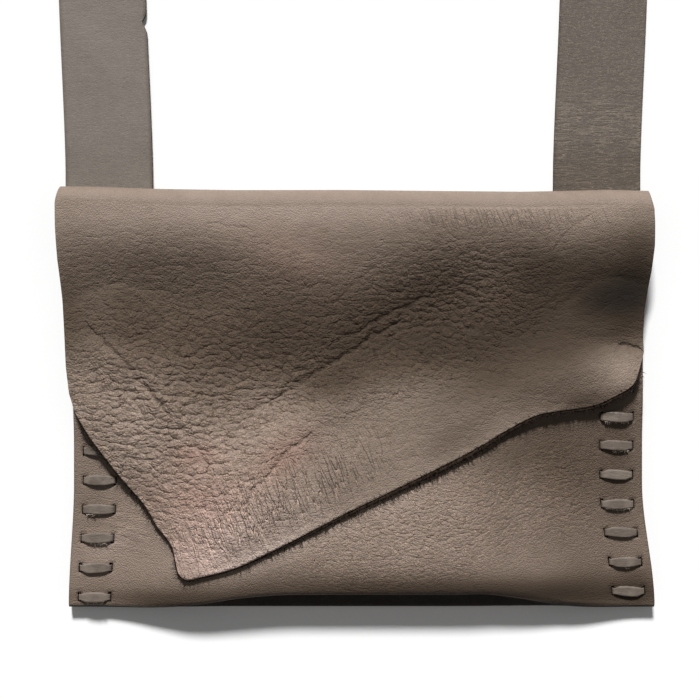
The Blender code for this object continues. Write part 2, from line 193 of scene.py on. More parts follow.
def full_front_height(x, y, lift_run=FRONT_LIFT_RUN):
    """Height of the front panel's outer face before the flap presses on it."""
    return back_height(x, y, lift_run) + PAIR + bulge(x, y) * sagged(y)


def ridges(x, y):
    reach = smooth(RIDGE_FOOT, RIDGE_FOOT_RUN, y)
    reach = reach * (1 - smooth(HINGE_Y - RIDGE_TOP_GAP, RIDGE_TOP_RUN, y))
    return reach * sum(height * np.exp(-((x - crest - lean * y) / RIDGE_WIDTH) ** 2)
                       for height, crest, lean in RIDGES)


def mound(x, y, centre_x, centre_y, reach_x, reach_y, turn, height):
    """A soft rise, or a hollow where the height is negative, with its long axis turned."""
    across, down = x - centre_x * MM, y - centre_y * MM
    c, s = math.cos(math.radians(turn)), math.sin(math.radians(turn))
    along = (across * c + down * s) / (reach_x * MM)
    beside = (down * c - across * s) / (reach_y * MM)
    return height * np.exp(-along * along - beside * beside)


def mounds(x, y, table):
    return sum(mound(x, y, *row) for row in table)


# Hollows and soft folds of the flap: centre, reach and height in mm, with the turn in degrees
# before the height
FLAP_FOLDS = [
    (-90, 50, 48, 19, 0, -4.8), (40, 42, 40, 20, 14, -6.4), (-10, 16, 46, 10, 32, -2.2),
    (120, 50, 28, 19, 0, -5.0), (84, 30, 34, 14, 24, -2.4), (-26, 62, 20, 13, -22, 2.0),
    (-74, -30, 42, 24, -38, 2.6), (-96, 4, 34, 9, -42, 1.4), (-28, -14, 50, 8, 30, 1.2),
    (106, 76, 15, 9, 42, 1.2), (66, 0, 46, 9, 24, 1.0), (-118, 22, 22, 8, -20, 1.0),
]
# The curled-up corner over the right seam, with the dips behind and below it
LOBE = [(128, 8, 15, 9, 20, 2.4), (122, 26, 20, 7, 12, -2.4), (112, -3, 14, 5, 10, -0.8)]
# Creases of the flap: from, to and width in mm, and how many times CREASE_DEPTH they are deep
FLAP_CREASES = [
    ((19.7, 36.9), (-43, -2.9), 1.5, 1.3), ((38, 51), (-13, 25), 1.3, 0.9),
    ((-128, 36), (-86, -10), 1.4, 1.2), ((-86, -10), (-66, -35.5), 1.2, 0.8),
    ((-22, -16), (-42, -33.5), 1.3, 1.0), ((-42, -33.5), (-52, -50), 1.2, 0.9),
    ((-74, -23), (-63.5, -48), 1.1, 0.8), ((-79, -24), (-53, -24), 0.9, 0.8),
    ((134.5, 22.6), (123, 25.7), 1.3, 1.7), ((90, 69.5), (109, 87), 1.0, 0.35),
    ((-70, 82), (-48, 79), 0.9, 0.3),
    ((-58, -5), (-20, 2), 1.0, 0.7), ((-121, 4), (-101, 3), 1.0, 0.7),
]


def groove(x, y, start, end, width, depth):
    """A shallow groove between two points, fading out at both ends."""
    run = np.subtract(end, start) * MM
    along = ((x - start[0] * MM) * run[0] + (y - start[1] * MM) * run[1]) / (run @ run)
    share = np.clip(along, 0, 1)
    off = np.hypot(x - start[0] * MM - share * run[0], y - start[1] * MM - share * run[1])
    fade = np.clip(6 * share * (1 - share), 0, 1)
    return CREASE_DEPTH * depth * fade * np.exp(-(off / (1.5 * width * MM)) ** 2)


def above_raw_edge(x, y):
    """How far up the flap a point lies from the raw edge, from 0 on it to 1 a little way in."""
    edge = np.array(RAW_EDGE)
    edge_y = np.interp(x, FLAP_SHIFT + edge[:, 0] * FLAP_WIDTH / 2, TOP_Y - edge[:, 1] * FLAP_DROP)
    return smooth(EDGE_FOOT, EDGE_RUN, y - edge_y)


def flap_height(x, y):
    """Height of the flap's outer face: level over the top fold, then draped on the front."""
    reach = (-BRIDGE, 0.0, BRIDGE)
    front = np.max([full_front_height(x + a, y + b, FLAP_LIFT_RUN)
                    for a in reach for b in reach], axis=0)
    relief_start = BODY_WIDTH / 2 - LACE_RELIEF_INSET - LACE_RELIEF_RUN
    lace = (LACE_LIFT + SEAT) * smooth(relief_start, LACE_RELIEF_RUN, np.abs(x))
    rest = front + REST_GAP + LEATHER + lace + ridges(x, y)
    drape = smooth(DRAPE_START, DRAPE_RUN, HINGE_Y - y)
    height = CREST_Z + (rest - CREST_Z) * drape
    away = smooth(HOLLOW_START, HOLLOW_RUN, HINGE_Y - y)
    away = away * (HOLLOW_EDGE_SHARE + (1 - HOLLOW_EDGE_SHARE) * above_raw_edge(x, y))
    height = height + away * MM * mounds(x, y, FLAP_FOLDS)
    pressed = back_height(x, y, FLAP_LIFT_RUN) + PAIR + LEATHER + REST_GAP + lace
    low = np.where(height < pressed, pressed, height)
    low = low - LEATHER * (1 - EDGE_SHARE) * (1 - above_raw_edge(x, y))
    grooves = sum(groove(x, y, *crease) for crease in FLAP_CREASES)
    return low + MM * (mounds(x, y, LOBE) - grooves)


def front_height(x, y):
    """Height of the front panel's outer face, with the flap's hollows pressed into it."""
    full = full_front_height(x, y)
    under = flap_height(x, y) - LEATHER * (EDGE_SHARE + (1 - EDGE_SHARE) * above_raw_edge(x, y))
    under = under - PRESS_GAP
    slack = np.clip((full - under) / PRESS_SLACK, -1, 1) * 0.5 + 0.5
    pressed = full + (under - full) * slack * smooth(PRESS_FOOT, PRESS_RUN, y)
    return np.maximum(pressed, back_height(x, y) + PAIR)


def body_edge(side, y):
    """X of the side edge of front and back."""
    flare = CORNER_FLARE[side] * (1 - smooth(BOTTOM_Y, CORNER_FLARE_RUN, y))
    flare = flare + TOP_FLARE * smooth(HINGE_Y - TOP_FLARE_RUN, TOP_FLARE_RUN, y)
    return side * (BODY_WIDTH / 2 + flare)


def seam_x(side, y, inward):
    return body_edge(side, y) - side * (SEAM_MARGIN + inward)


# Mesh helpers

def sheet_mesh(name, points, flat, values, holes):
    """A grid of points as a mesh, with its place on the flat hide as UV, and values per point.

    Row by row the points follow the hide, and its grain side is the mesh's outer side.
    """
    rows, columns = points.shape[:2]
    number = np.arange(rows * columns).reshape(rows, columns)
    quads = np.stack(
        [number[:-1, :-1], number[:-1, 1:], number[1:, 1:], number[1:, :-1]], axis=-1
    )
    keep = np.ones(quads.shape[:2], bool) if holes is None else ~holes
    quads = quads[keep]
    mesh = bpy.data.meshes.new(name)
    mesh.from_pydata(points.reshape(-1, 3).tolist(), [], quads.tolist())
    layer = mesh.uv_layers.new(name="hide")
    layer.data.foreach_set("uv", flat.reshape(-1, 2)[quads.ravel()].astype(np.float32).ravel())
    for label, value in values.items():
        attribute = mesh.attributes.new(label, "FLOAT", "POINT")
        attribute.data.foreach_set("value", value.astype(np.float32).ravel())
    mesh.shade_smooth()
    mesh.update()
    return mesh


def add_object(name, data, materials=()):
    piece = bpy.data.objects.new(name, data)
    bpy.context.scene.collection.objects.link(piece)
    for material in materials:
        piece.data.materials.append(material)
    return piece


def thicken(piece, offset, shares):
    """The second material is the flesh side, and the third the cut edge.

    Shares, where given, say how much of the leather's thickness each point has.
    """
    solid = piece.modifiers.new("thickness", "SOLIDIFY")
    solid.thickness = LEATHER
    solid.offset = offset
    solid.use_quality_normals = True
    solid.material_offset = 1
    solid.material_offset_rim = 2
    if shares is not None:
        group = piece.vertex_groups.new(name="thickness")
        for number, share in enumerate(shares.ravel().tolist()):
            group.add([number], share, "REPLACE")
        solid.vertex_group = group.name


def hide_values(tone, coarse, wrinkled, rosy=0.0):
    """What the grain side reads at each point."""
    return {"tone": tone, "coarse": np.clip(coarse, 0, 1.3), "rosy": np.clip(rosy + 0 * tone, 0, 1),
            "wrinkled": np.clip(wrinkled, 0, 1)}


def make_sheet(name, points, flat, values, hide, holes=None, offset=-1.0, shares=None):
    """A sheet of leather with this grain side, the common flesh side and the common cut edge."""
    piece = add_object(name, sheet_mesh(name, points, flat, values, holes), [hide, FLESH, CUT])
    thicken(piece, offset, shares)
    return piece


def divided(start, spans):
    """Mesh lines from start through the spans, and which of the gaps between them are slits.

    Each span is its end, its number of gaps, and whether it is a slit.
    """
    lines, slits = [start], []
    for stop, count, slit in spans:
        lines += list(np.linspace(lines[-1], stop, count + 1)[1:])
        slits += [slit] * count
    return lines, slits


def slit_spans(middles, length, gap_steps, slit_steps):
    """The spans up to each slit and over it."""
    spans = []
    for middle, steps in zip(middles, np.broadcast_to(gap_steps, len(middles)).tolist()):
        spans += [(middle - length / 2, steps, False), (middle + length / 2, slit_steps, True)]
    return spans


def along_hide(points):
    """How far each point lies down the hide from the first row, in section."""
    step = np.linalg.norm(np.diff(points[..., 1:], axis=0), axis=-1)
    return np.concatenate([np.zeros((1, points.shape[1])), np.cumsum(step, axis=0)])


def curve_through(points, steps):
    points = np.array(points)
    padded = np.concatenate([points[:1], points, points[-1:]])
    t = np.linspace(0, 1, steps, endpoint=False)[:, None]
    found = []
    for a, b, c, d in zip(padded, padded[1:], padded[2:], padded[3:]):
        found.append(0.5 * (2 * b + (c - a) * t + (2 * a - 5 * b + 4 * c - d) * t ** 2
                            + (3 * b - a - 3 * c + d) * t ** 3))
    return np.concatenate(found + [points[-1:]])


def path_lengths(points):
    """How far along the line each of its points lies."""
    return np.concatenate([[0], np.cumsum(np.linalg.norm(np.diff(points, axis=0), axis=1))])


def evenly(points, steps):
    along = path_lengths(points)
    at = np.linspace(0, along[-1], steps + 1)
    return np.stack([np.interp(at, along, points[:, k]) for k in range(points.shape[1])], axis=1)


# Node helpers

FLOAT, VECTOR, WHOLE = "NodeSocketFloat", "NodeSocketVector", "NodeSocketInt"
MATERIAL, GEOMETRY = "NodeSocketMaterial", "NodeSocketGeometry"
PER_METRE = 1000.0


def feed(tree, socket, value):
    """Links an output to this socket, or sets the socket to a plain value."""
    if isinstance(value, bpy.types.NodeSocket):
        tree.links.new(value, socket)
    else:
        socket.default_value = value


def wire(tree, kind, inputs=None, **settings):
    """Adds a node, gives its settings, and links or sets its inputs by name or number."""
    node = tree.nodes.new(kind)
    for key, value in settings.items():
        setattr(node, key, value)
    for key, value in (inputs or {}).items():
        feed(tree, node.inputs[key], value)
    return node


def math_node(tree, operation, *values, clamp=False):
    return wire(tree, "ShaderNodeMath", dict(enumerate(values)), operation=operation,
                use_clamp=clamp).outputs[0]


def times(tree, first, second, plus=0.0, clamp=False):
    return math_node(tree, "MULTIPLY_ADD", first, second, plus, clamp=clamp)


def vector_math(tree, operation, first, second):
    node = wire(tree, "ShaderNodeVectorMath", {0: first, 1: second}, operation=operation)
    return node.outputs["Value" if operation in ("DOT_PRODUCT", "DISTANCE") else "Vector"]


def scaled(tree, vector, size):
    return wire(tree, "ShaderNodeVectorMath", {0: vector, "Scale": size},
                operation="SCALE").outputs["Vector"]


def ramp(tree, value, low, high, to_low=0.0, to_high=1.0):
    return wire(tree, "ShaderNodeMapRange", {
        "Value": value, "From Min": low, "From Max": high, "To Min": to_low, "To Max": to_high,
    }, interpolation_type="SMOOTHSTEP").outputs[0]


def noise(tree, place, scale, detail, dimensions="3D", **more):
    return wire(tree, "ShaderNodeTexNoise", {
        "Vector": place, "Scale": scale, "Detail": detail, **more,
    }, noise_dimensions=dimensions).outputs


def stray(tree, place, scale, detail, reach, dimensions="3D"):
    """A shift that changes with the place, by up to about half of reach each way."""
    colour = noise(tree, place, scale, detail, dimensions)["Color"]
    centred = vector_math(tree, "SUBTRACT", colour, (0.5, 0.5, 0.5))
    return vector_math(tree, "MULTIPLY", centred, reach)


def cells(tree, place, scale, feature="F1", **more):
    """The distance in a flat pattern of cells."""
    return wire(tree, "ShaderNodeTexVoronoi", {"Vector": place, "Scale": scale, **more},
                feature=feature, voronoi_dimensions="2D").outputs["Distance"]


# Shader groups, each with the place on the flat hide in millimetres as its vector

def shader_group(name, inputs, outputs):
    """A group with a vector and the named inputs. An input without a default is a vector too."""
    tree = bpy.data.node_groups.new(name, "ShaderNodeTree")
    for label, default in {"Vector": None, **inputs}.items():
        kind = VECTOR if default is None else FLOAT
        socket = tree.interface.new_socket(label, in_out="INPUT", socket_type=kind)
        if default is not None:
            socket.default_value = default
    for label in outputs:
        tree.interface.new_socket(label, in_out="OUTPUT", socket_type=FLOAT)
    return tree, tree.nodes.new("NodeGroupInput").outputs, tree.nodes.new("NodeGroupOutput").inputs


def make_pebble_group():
    """Swollen grain, longer across the hide, with thin creases between some of the pebbles."""
    tree, given, out = shader_group(
        "pebbled grain", {"Pebble size": 2.4, "Length": 1.6}, ["Height", "Crease"])
    place = moved = given["Vector"]
    for scale, reach in ((0.09, 5.0), (0.6, 0.7)):
        moved = vector_math(tree, "ADD", moved, stray(tree, place, scale, 1.0, (reach, reach, 0)))
    apart = wire(tree, "ShaderNodeSeparateXYZ", {0: moved}).outputs
    pressed = wire(tree, "ShaderNodeCombineXYZ", {
        "X": math_node(tree, "DIVIDE", apart["X"], given["Length"]), "Y": apart["Y"]}).outputs[0]
    scale = math_node(tree, "DIVIDE", 1.0, given["Pebble size"])
    reach = cells(tree, pressed, scale, "SMOOTH_F1", Smoothness=0.22)
    dome = times(tree, times(tree, reach, reach), -1.9, 1.0)
    edge = ramp(tree, cells(tree, pressed, scale, "DISTANCE_TO_EDGE"), 0.10, 0.0)
    fade = noise(tree, place, 0.22, 3.0)["Fac"]
    crease = times(tree, edge, ramp(tree, fade, 0.46, 0.70))
    raised = times(tree, dome, ramp(tree, fade, 0.30, 0.70, 0.55, 1.15))
    feed(tree, out["Height"], times(tree, crease, -0.40, raised))
    feed(tree, out["Crease"], crease)
    return tree


def make_wrinkle_group():
    """Long thin creases that follow one direction, with a line on their crests where the hide
    paints a highlight.
    """
    tree, given, out = shader_group(
        "pull wrinkles", {"Turn": 0.0, "Spacing": 2.2, "Length": 14.0}, ["Height", "Line"])
    turned = wire(tree, "ShaderNodeVectorRotate", {
        "Vector": given["Vector"], "Angle": given["Turn"]}, rotation_type="Z_AXIS")
    apart = wire(tree, "ShaderNodeSeparateXYZ", {0: turned.outputs[0]}).outputs
    place = wire(tree, "ShaderNodeCombineXYZ", {
        "X": math_node(tree, "DIVIDE", apart["X"], given["Length"]),
        "Y": math_node(tree, "DIVIDE", apart["Y"], given["Spacing"])}).outputs[0]
    waves = noise(tree, place, 0.75, 2.5, "2D", Roughness=0.55, Distortion=0.25)["Fac"]
    away = math_node(tree, "ABSOLUTE", math_node(tree, "SUBTRACT", waves, 0.5))
    line = ramp(tree, away, 0.055, 0.0)
    feed(tree, out["Height"], times(tree, line, -0.3, waves))
    feed(tree, out["Line"], line)
    return tree


def make_pore_group():
    """Fine hair pores and the tight grain between them."""
    tree, given, out = shader_group("fine pores", {"Pore size": 0.8}, ["Height", "Speck"])
    place = given["Vector"]
    pores = cells(tree, place, math_node(tree, "DIVIDE", 1.0, given["Pore size"]))
    grit = noise(tree, place, 1.9, 3.0, "2D", Roughness=0.62)["Fac"]
    height = times(tree, ramp(tree, pores, 0.7, 0.1), 0.55, grit)
    patches = ramp(tree, noise(tree, place, 0.45, 1.0, "2D")["Fac"], 0.4, 0.6)
    feed(tree, out["Height"], height)
    feed(tree, out["Speck"], times(tree, ramp(tree, height, 0.84, 1.10), patches))
    return tree


def make_mottle_group():
    """Cloudy change of tone over the hide, from about -1 to 1."""
    tree, given, out = shader_group("hide mottling", {}, ["Clouds", "Spots"])
    for label, scale in (("Clouds", 0.035), ("Spots", 0.16)):
        clouds = noise(tree, given["Vector"], scale, 3.0, "2D", Roughness=0.55)["Fac"]
        feed(tree, out[label], times(tree, clouds, 5.0, -2.5))
    return tree


def make_crease_group():
    """A fold line between two points of the flat hide, which strays a little on its way."""
    tree, given, out = shader_group(
        "fold crease", {"From": None, "To": None, "Width": 0.8}, ["Line"])
    place = given["Vector"]
    place = vector_math(tree, "ADD", place, stray(tree, place, 0.11, 3.0, (6, 6, 0), "2D"))
    run = vector_math(tree, "SUBTRACT", given["To"], given["From"])
    here = vector_math(tree, "SUBTRACT", place, given["From"])
    share = math_node(tree, "DIVIDE", vector_math(tree, "DOT_PRODUCT", here, run),
                      vector_math(tree, "DOT_PRODUCT", run, run), clamp=True)
    off = vector_math(tree, "DISTANCE", here, scaled(tree, run, share))
    ends = times(tree, share, math_node(tree, "SUBTRACT", 1.0, share))
    width = times(tree, given["Width"], ramp(tree, ends, 0.0, 0.16, 0.25, 1.0))
    feed(tree, out["Line"], ramp(tree, math_node(tree, "DIVIDE", off, width), 1.0, 0.0))
    return tree


PEBBLES = make_pebble_group()
CREASES = make_crease_group()
WRINKLES = make_wrinkle_group()
PORES = make_pore_group()
MOTTLING = make_mottle_group()


# Materials

def place_group(tree, group, **inputs):
    named = {label.replace("_", " "): value for label, value in inputs.items()}
    return wire(tree, "ShaderNodeGroup", named, node_tree=group).outputs


def new_material(name):
    material = bpy.data.materials.new(name)
    material.use_nodes = True
    tree = material.node_tree
    return material, tree, tree.nodes["Principled BSDF"]


def flat_place(tree):
    """The point's place on the flat hide, in millimetres."""
    return scaled(tree, wire(tree, "ShaderNodeUVMap", uv_map="hide").outputs["UV"], PER_METRE)


def piece_place(tree):
    """The point's place on a piece without a flat pattern, in millimetres."""
    return scaled(tree, wire(tree, "ShaderNodeTexCoord").outputs["Object"], PER_METRE)


def mix_colour(tree, colour, factor, other, blend="MIX"):
    colour, other = (
        (*value, 1.0) if isinstance(value, tuple) else value for value in (colour, other))
    return wire(tree, "ShaderNodeMix", {0: factor, 6: colour, 7: other},
                data_type="RGBA", blend_type=blend).outputs[2]


def coat(tree, shader, colour, height, depth, roughness, specular=0.5):
    """Gives the shader its colour, a relief of this depth in millimetres, and its shine."""
    bump = wire(tree, "ShaderNodeBump", {
        "Height": height, "Strength": 1.0, "Distance": depth * MM})
    for label, value in (("Base Color", colour), ("Normal", bump.outputs["Normal"]),
                         ("Roughness", roughness), ("Specular IOR Level", specular)):
        feed(tree, shader.inputs[label], value)


# Darker dye and darker painted shade are both warmer, so blue falls faster than red
TONE_STRENGTHS = (0.93, 1.0, 1.12)
# What a stain does to the colour, and the painted shade in a crack between pebbles and in a fold
ROSY, CRACK_SHADE, FOLD_SHADE = (1.14, 0.93, 0.92), (0.45, 0.40, 0.36), (0.50, 0.45, 0.42)
# Painted highlights: glints on pores, on the tops of small pebbles and on the crests of wrinkles
PORE_GLINT, PEBBLE_TOP_HIGHLIGHT, WRINKLE_HIGHLIGHT = (1.95, 1.90, 1.84), (1.55, 1.50, 1.45), (1.6, 1.55, 1.5)


def make_grain_side(name, base, pebble_size, pebble_depth, pore_depth, roughness, creases=(),
                    pull_turn=0.0):
    """The smooth outer side of the hide. Attributes say where it swells and is stained, and hold
    painted shading, which also sets its shine.
    """
    material, tree, shader = new_material(name)
    place = flat_place(tree)
    coarse, wrinkled, tone, rosy = (
        wire(tree, "ShaderNodeAttribute", attribute_name=label).outputs["Fac"]
        for label in ("coarse", "wrinkled", "tone", "rosy"))
    pebbles = place_group(tree, PEBBLES, Vector=place, Pebble_size=pebble_size)
    small = place_group(tree, PEBBLES, Vector=place, Pebble_size=pebble_size * 0.40, Length=1.2)
    pores = place_group(tree, PORES, Vector=place, Pore_size=0.75)
    pull = place_group(tree, WRINKLES, Vector=place, Turn=pull_turn)
    mottling = place_group(tree, MOTTLING, Vector=place)

    height = times(tree, pebbles["Height"], coarse)
    tight = ramp(tree, coarse, 0.0, 0.6, 0.06, 0.32)
    lines = times(tree, pull["Height"], wrinkled)
    for part, share in ((small["Height"], tight), (lines, 3.2), (pores["Height"], pore_depth)):
        height = times(tree, part, share, height)
    folded = 0.0
    for start, end, width, depth in creases:
        line = place_group(tree, CREASES, Vector=place, From=(*start, 0.0), To=(*end, 0.0),
                           Width=width * 1.5)["Line"]
        folded = math_node(tree, "MAXIMUM", times(tree, line, depth * 0.6), folded)
    height = math_node(tree, "SUBTRACT", height, folded)

    clouds = times(tree, mottling["Clouds"], 0.09)
    clouds = times(tree, mottling["Spots"], 0.06, clouds)
    # The tone attribute is painted light and shade; it joins the random mottling before both change
    # the base colour
    clouds = math_node(tree, "ADD", clouds, tone)
    channels = [math_node(tree, "POWER", 2.0, times(tree, clouds, strength))
                for strength in TONE_STRENGTHS]
    bright = wire(tree, "ShaderNodeCombineXYZ", dict(zip("XYZ", channels))).outputs[0]
    colour = vector_math(tree, "MULTIPLY", base, bright)
    # Painted shade in the cracks between pebbles
    dark = times(tree, pebbles["Crease"], coarse, clamp=True)
    dark = times(tree, dark, 0.62)
    # Painted glints on the pores, then painted highlights on the tops of small pebbles and on
    # wrinkle crests
    wear_and_glints = times(tree, pores["Speck"], ramp(tree, coarse, 0.15, 0.7, 0.15, 1.0),
                     clamp=True)
    tops = times(tree, ramp(tree, small["Height"], 0.50, 1.05),
                     ramp(tree, coarse, 0.1, 0.9, 0.05, 0.55))
    crest = times(tree, times(tree, pull["Line"], wrinkled), 0.9)
    # A rosy stain, painted shade in cracks and folds, and painted highlights on pores, pebble tops
    # and crests
    for factor, tint in (
            (rosy, ROSY), (dark, CRACK_SHADE), (times(tree, folded, 0.13), FOLD_SHADE),
            (wear_and_glints, PORE_GLINT), (tops, PEBBLE_TOP_HIGHLIGHT), (crest, WRINKLE_HIGHLIGHT)):
        colour = mix_colour(tree, colour, factor, tint, "MULTIPLY")
    gloss = times(tree, mottling["Spots"], 0.05, roughness)
    gloss = math_node(tree, "ADD", gloss, ramp(tree, tone, -0.5, -1.8, 0.0, 0.36))
    gloss = times(tree, dark, 0.2, gloss)
    coat(tree, shader, colour, height, pebble_depth, gloss, specular=0.35)
    return material


def make_napped(name, base, depth):
    """Flesh side, cut edge or fibres: loose, with no finish on them."""
    material, tree, shader = new_material(name)
    place = piece_place(tree)
    nap = noise(tree, place, 1.6, 4.0, Roughness=0.7)["Fac"]
    clumps = ramp(tree, noise(tree, place, 0.12, 5.0, Roughness=0.65)["Fac"], 0.25, 0.75)
    colour = mix_colour(tree, base, clumps, tuple(value * 1.25 for value in base))
    colour = mix_colour(tree, colour, ramp(tree, nap, 0.75, 0.3), (0.5, 0.5, 0.5), "MULTIPLY")
    coat(tree, shader, colour, nap, depth, ramp(tree, nap, 0.2, 0.8, 0.86, 0.98), specular=0.15)
    return material


def make_thong_material():
    material, tree, shader = new_material("thong")
    place = piece_place(tree)
    drawn = wire(tree, "ShaderNodeMapping", {"Vector": place, "Scale": (0.35, 1.6, 1.0)})
    grain = noise(tree, drawn.outputs[0], 1.1, 4.0, Roughness=0.65)["Fac"]
    patches = ramp(tree, noise(tree, place, 0.16, 2.0)["Fac"], 0.35, 0.65)
    wear_and_glints = times(tree, ramp(tree, grain, 0.5, 0.72), 0.45)
    colour = mix_colour(tree, (0.132, 0.104, 0.083), patches, (0.186, 0.149, 0.120))
    colour = mix_colour(tree, colour, wear_and_glints, (1.4, 1.38, 1.35), "MULTIPLY")
    coat(tree, shader, colour, grain, 0.22, ramp(tree, grain, 0.3, 0.7, 0.5, 0.68))
    return material


FLESH = make_napped("flesh side", (0.125, 0.092, 0.068), 0.25)
CUT = make_napped("cut edge", (0.040, 0.025, 0.017), 0.35)
# The loose fibres are pale, partly their own colour and partly painted light, as they hang in the
# bars' shadow
HAIRS = make_napped("loose fibres", (0.420, 0.350, 0.290), 0.05)
HIDE = make_grain_side("hide", (0.236, 0.176, 0.138), pebble_size=1.5, pebble_depth=0.34,
                       pore_depth=0.75, roughness=0.50)
STRAP_HIDE = make_grain_side("strap hide", (0.200, 0.172, 0.150), pebble_size=1.3,
                             pebble_depth=0.12, pore_depth=0.45, roughness=0.64)
THONG = make_thong_material()


# Flap

def edge_points(columns):
    shares = evenly(curve_through(RAW_EDGE, 8), columns)
    x = FLAP_SHIFT + shares[:, 0] * FLAP_WIDTH / 2
    y = TOP_Y - shares[:, 1] * FLAP_DROP
    return x, y


def fold_wave(x):
    """How far the top fold strays from a straight line."""
    at = np.array([-0.142, -0.125, -0.097, -0.058, -0.008, 0.035, 0.077, 0.095, 0.118, 0.142])
    off = np.array([0.6, 0.5, -0.9, -1.7, -1.6, -2.2, -2.7, -2.3, -1.6, -2.4])
    return np.interp(x, at, off) * MM


def on_hide(points, flat, place):
    """Where a point of the closed flap, in millimetres, lies on the flat hide."""
    off = np.hypot(points[..., 0] - place[0] * MM, points[..., 1] - place[1] * MM)
    behind = (points[..., 2] < HINGE_Z) & (points[..., 1] > BEHIND_Y)
    off = off + np.where(behind, 1.0, 0.0)
    row, column = np.unravel_index(np.argmin(off), off.shape)
    return tuple(float(value) for value in flat[row, column] / MM)


# How far the flap's sides stray outwards from straight lines, by height, in millimetres
SIDE_WAVES = {
    LEFT: ([-2.6, 2.2, 15, 26, 47, 65, 80, 91, 99],
           [0.1, 1.2, 1.7, 1.4, 1.0, 1.2, 0.7, 0.0, -1.2]),
    RIGHT: ([21.9, 32, 41.6, 50, 60, 72, 85, 91, 99],
            [0.0, -0.8, -1.1, -0.2, 0.7, 0.7, -0.3, -1.0, -2.8]),
}
SIDE_REACH = 0.030
BEHIND_Y = 0.07
ROLL_WAVE_REACH = 0.016
PULL_TURN = math.radians(70)


def make_flap(columns=236, rows=150, roll_steps=22, strip_steps=4):
    edge_x, edge_y = edge_points(columns)
    left, right = edge_x[0], edge_x[-1]
    top_x = FLAP_SHIFT + FLAP_WIDTH * ((edge_x - left) / (right - left) - 0.5)
    share = (1 - np.linspace(0, 1, rows + 1))[:, None]
    x = top_x + (edge_x - top_x) * share
    y = HINGE_Y - (HINGE_Y - edge_y) * share
    z = flap_height(x, y)
    angle = math.pi / 2 - math.pi * np.arange(1, roll_steps + 1)[:, None] / roll_steps
    roll_x = np.broadcast_to(top_x, (roll_steps, columns + 1))
    roll_y = HINGE_Y + ROLL_RADIUS * np.cos(angle) + 0 * roll_x
    roll_z = HINGE_Z + ROLL_RADIUS * np.sin(angle) + 0 * roll_x
    strip_y = np.linspace(HINGE_Y, JOIN_Y, strip_steps + 1)[1:, None]
    strip_x = np.broadcast_to(top_x, (strip_steps, columns + 1))
    strip_z = back_height(strip_x, strip_y + 0 * strip_x)
    points = np.stack([
        np.concatenate([x, roll_x, strip_x]),
        np.concatenate([y, roll_y, strip_y + 0 * strip_x]),
        np.concatenate([z, roll_z, strip_z]),
    ], axis=-1)
    back_width = body_edge(RIGHT, HINGE_Y) - body_edge(LEFT, HINGE_Y)
    narrow = smooth(0, 1, np.concatenate([
        np.zeros(rows + 1), np.linspace(0, 1, roll_steps), np.ones(strip_steps)]))[:, None]
    wide = FLAP_SHIFT + (top_x - FLAP_SHIFT) * back_width / FLAP_WIDTH
    points[..., 0] += (wide - top_x) * narrow
    for side in (LEFT, RIGHT):
        heights, waves = SIDE_WAVES[side]
        shift = np.interp(points[..., 1] / MM, heights, waves) * MM
        inside = side * ((right if side == RIGHT else left) - points[..., 0])
        outer = np.clip(1 - inside / SIDE_REACH, 0, 1)
        points[..., 0] += side * shift * outer ** 2 * (1 - narrow)
    near = np.exp(-((points[..., 1] - HINGE_Y) / ROLL_WAVE_REACH) ** 2)
    last = strip_steps + roll_steps // 3
    near[-last:] *= np.linspace(1, 0, last)[:, None]
    points[..., 1] += fold_wave(points[..., 0]) * near

    down = along_hide(points)
    flat = np.stack([points[..., 0], down - down[-1]], axis=-1)
    px, py = points[..., 0], points[..., 1]
    front = np.zeros(px.shape)
    front[:rows + 1] = 1
    tone = mounds(px, py, FLAP_PAINTED_SHADING) * front
    below_roll = 1 - smooth(TIGHT_Y, TIGHT_RUN, py)
    coarse = FLAP_COARSE + front * (MORE_COARSE * below_roll + mounds(px, py, FLAP_PEBBLES))
    wrinkled = front * mounds(px, py, FLAP_WRINKLES)
    rosy = front * mounds(px, py, FLAP_ROSY)
    creases = [(on_hide(points, flat, a), on_hide(points, flat, b), width, depth)
               for a, b, width, depth in FLAP_CREASES]
    hide = make_grain_side("flap hide", (0.243, 0.183, 0.144), pebble_size=2.5, pebble_depth=0.78,
                           pore_depth=0.24, roughness=0.54, creases=creases, pull_turn=PULL_TURN)
    pared = np.where(front > 0, above_raw_edge(px, py), 1.0)
    values = hide_values(tone, coarse, wrinkled, rosy)
    piece = make_sheet("flap_leather", points, flat, values, hide,
                       shares=EDGE_SHARE + (1 - EDGE_SHARE) * pared)
    return piece, points[0]
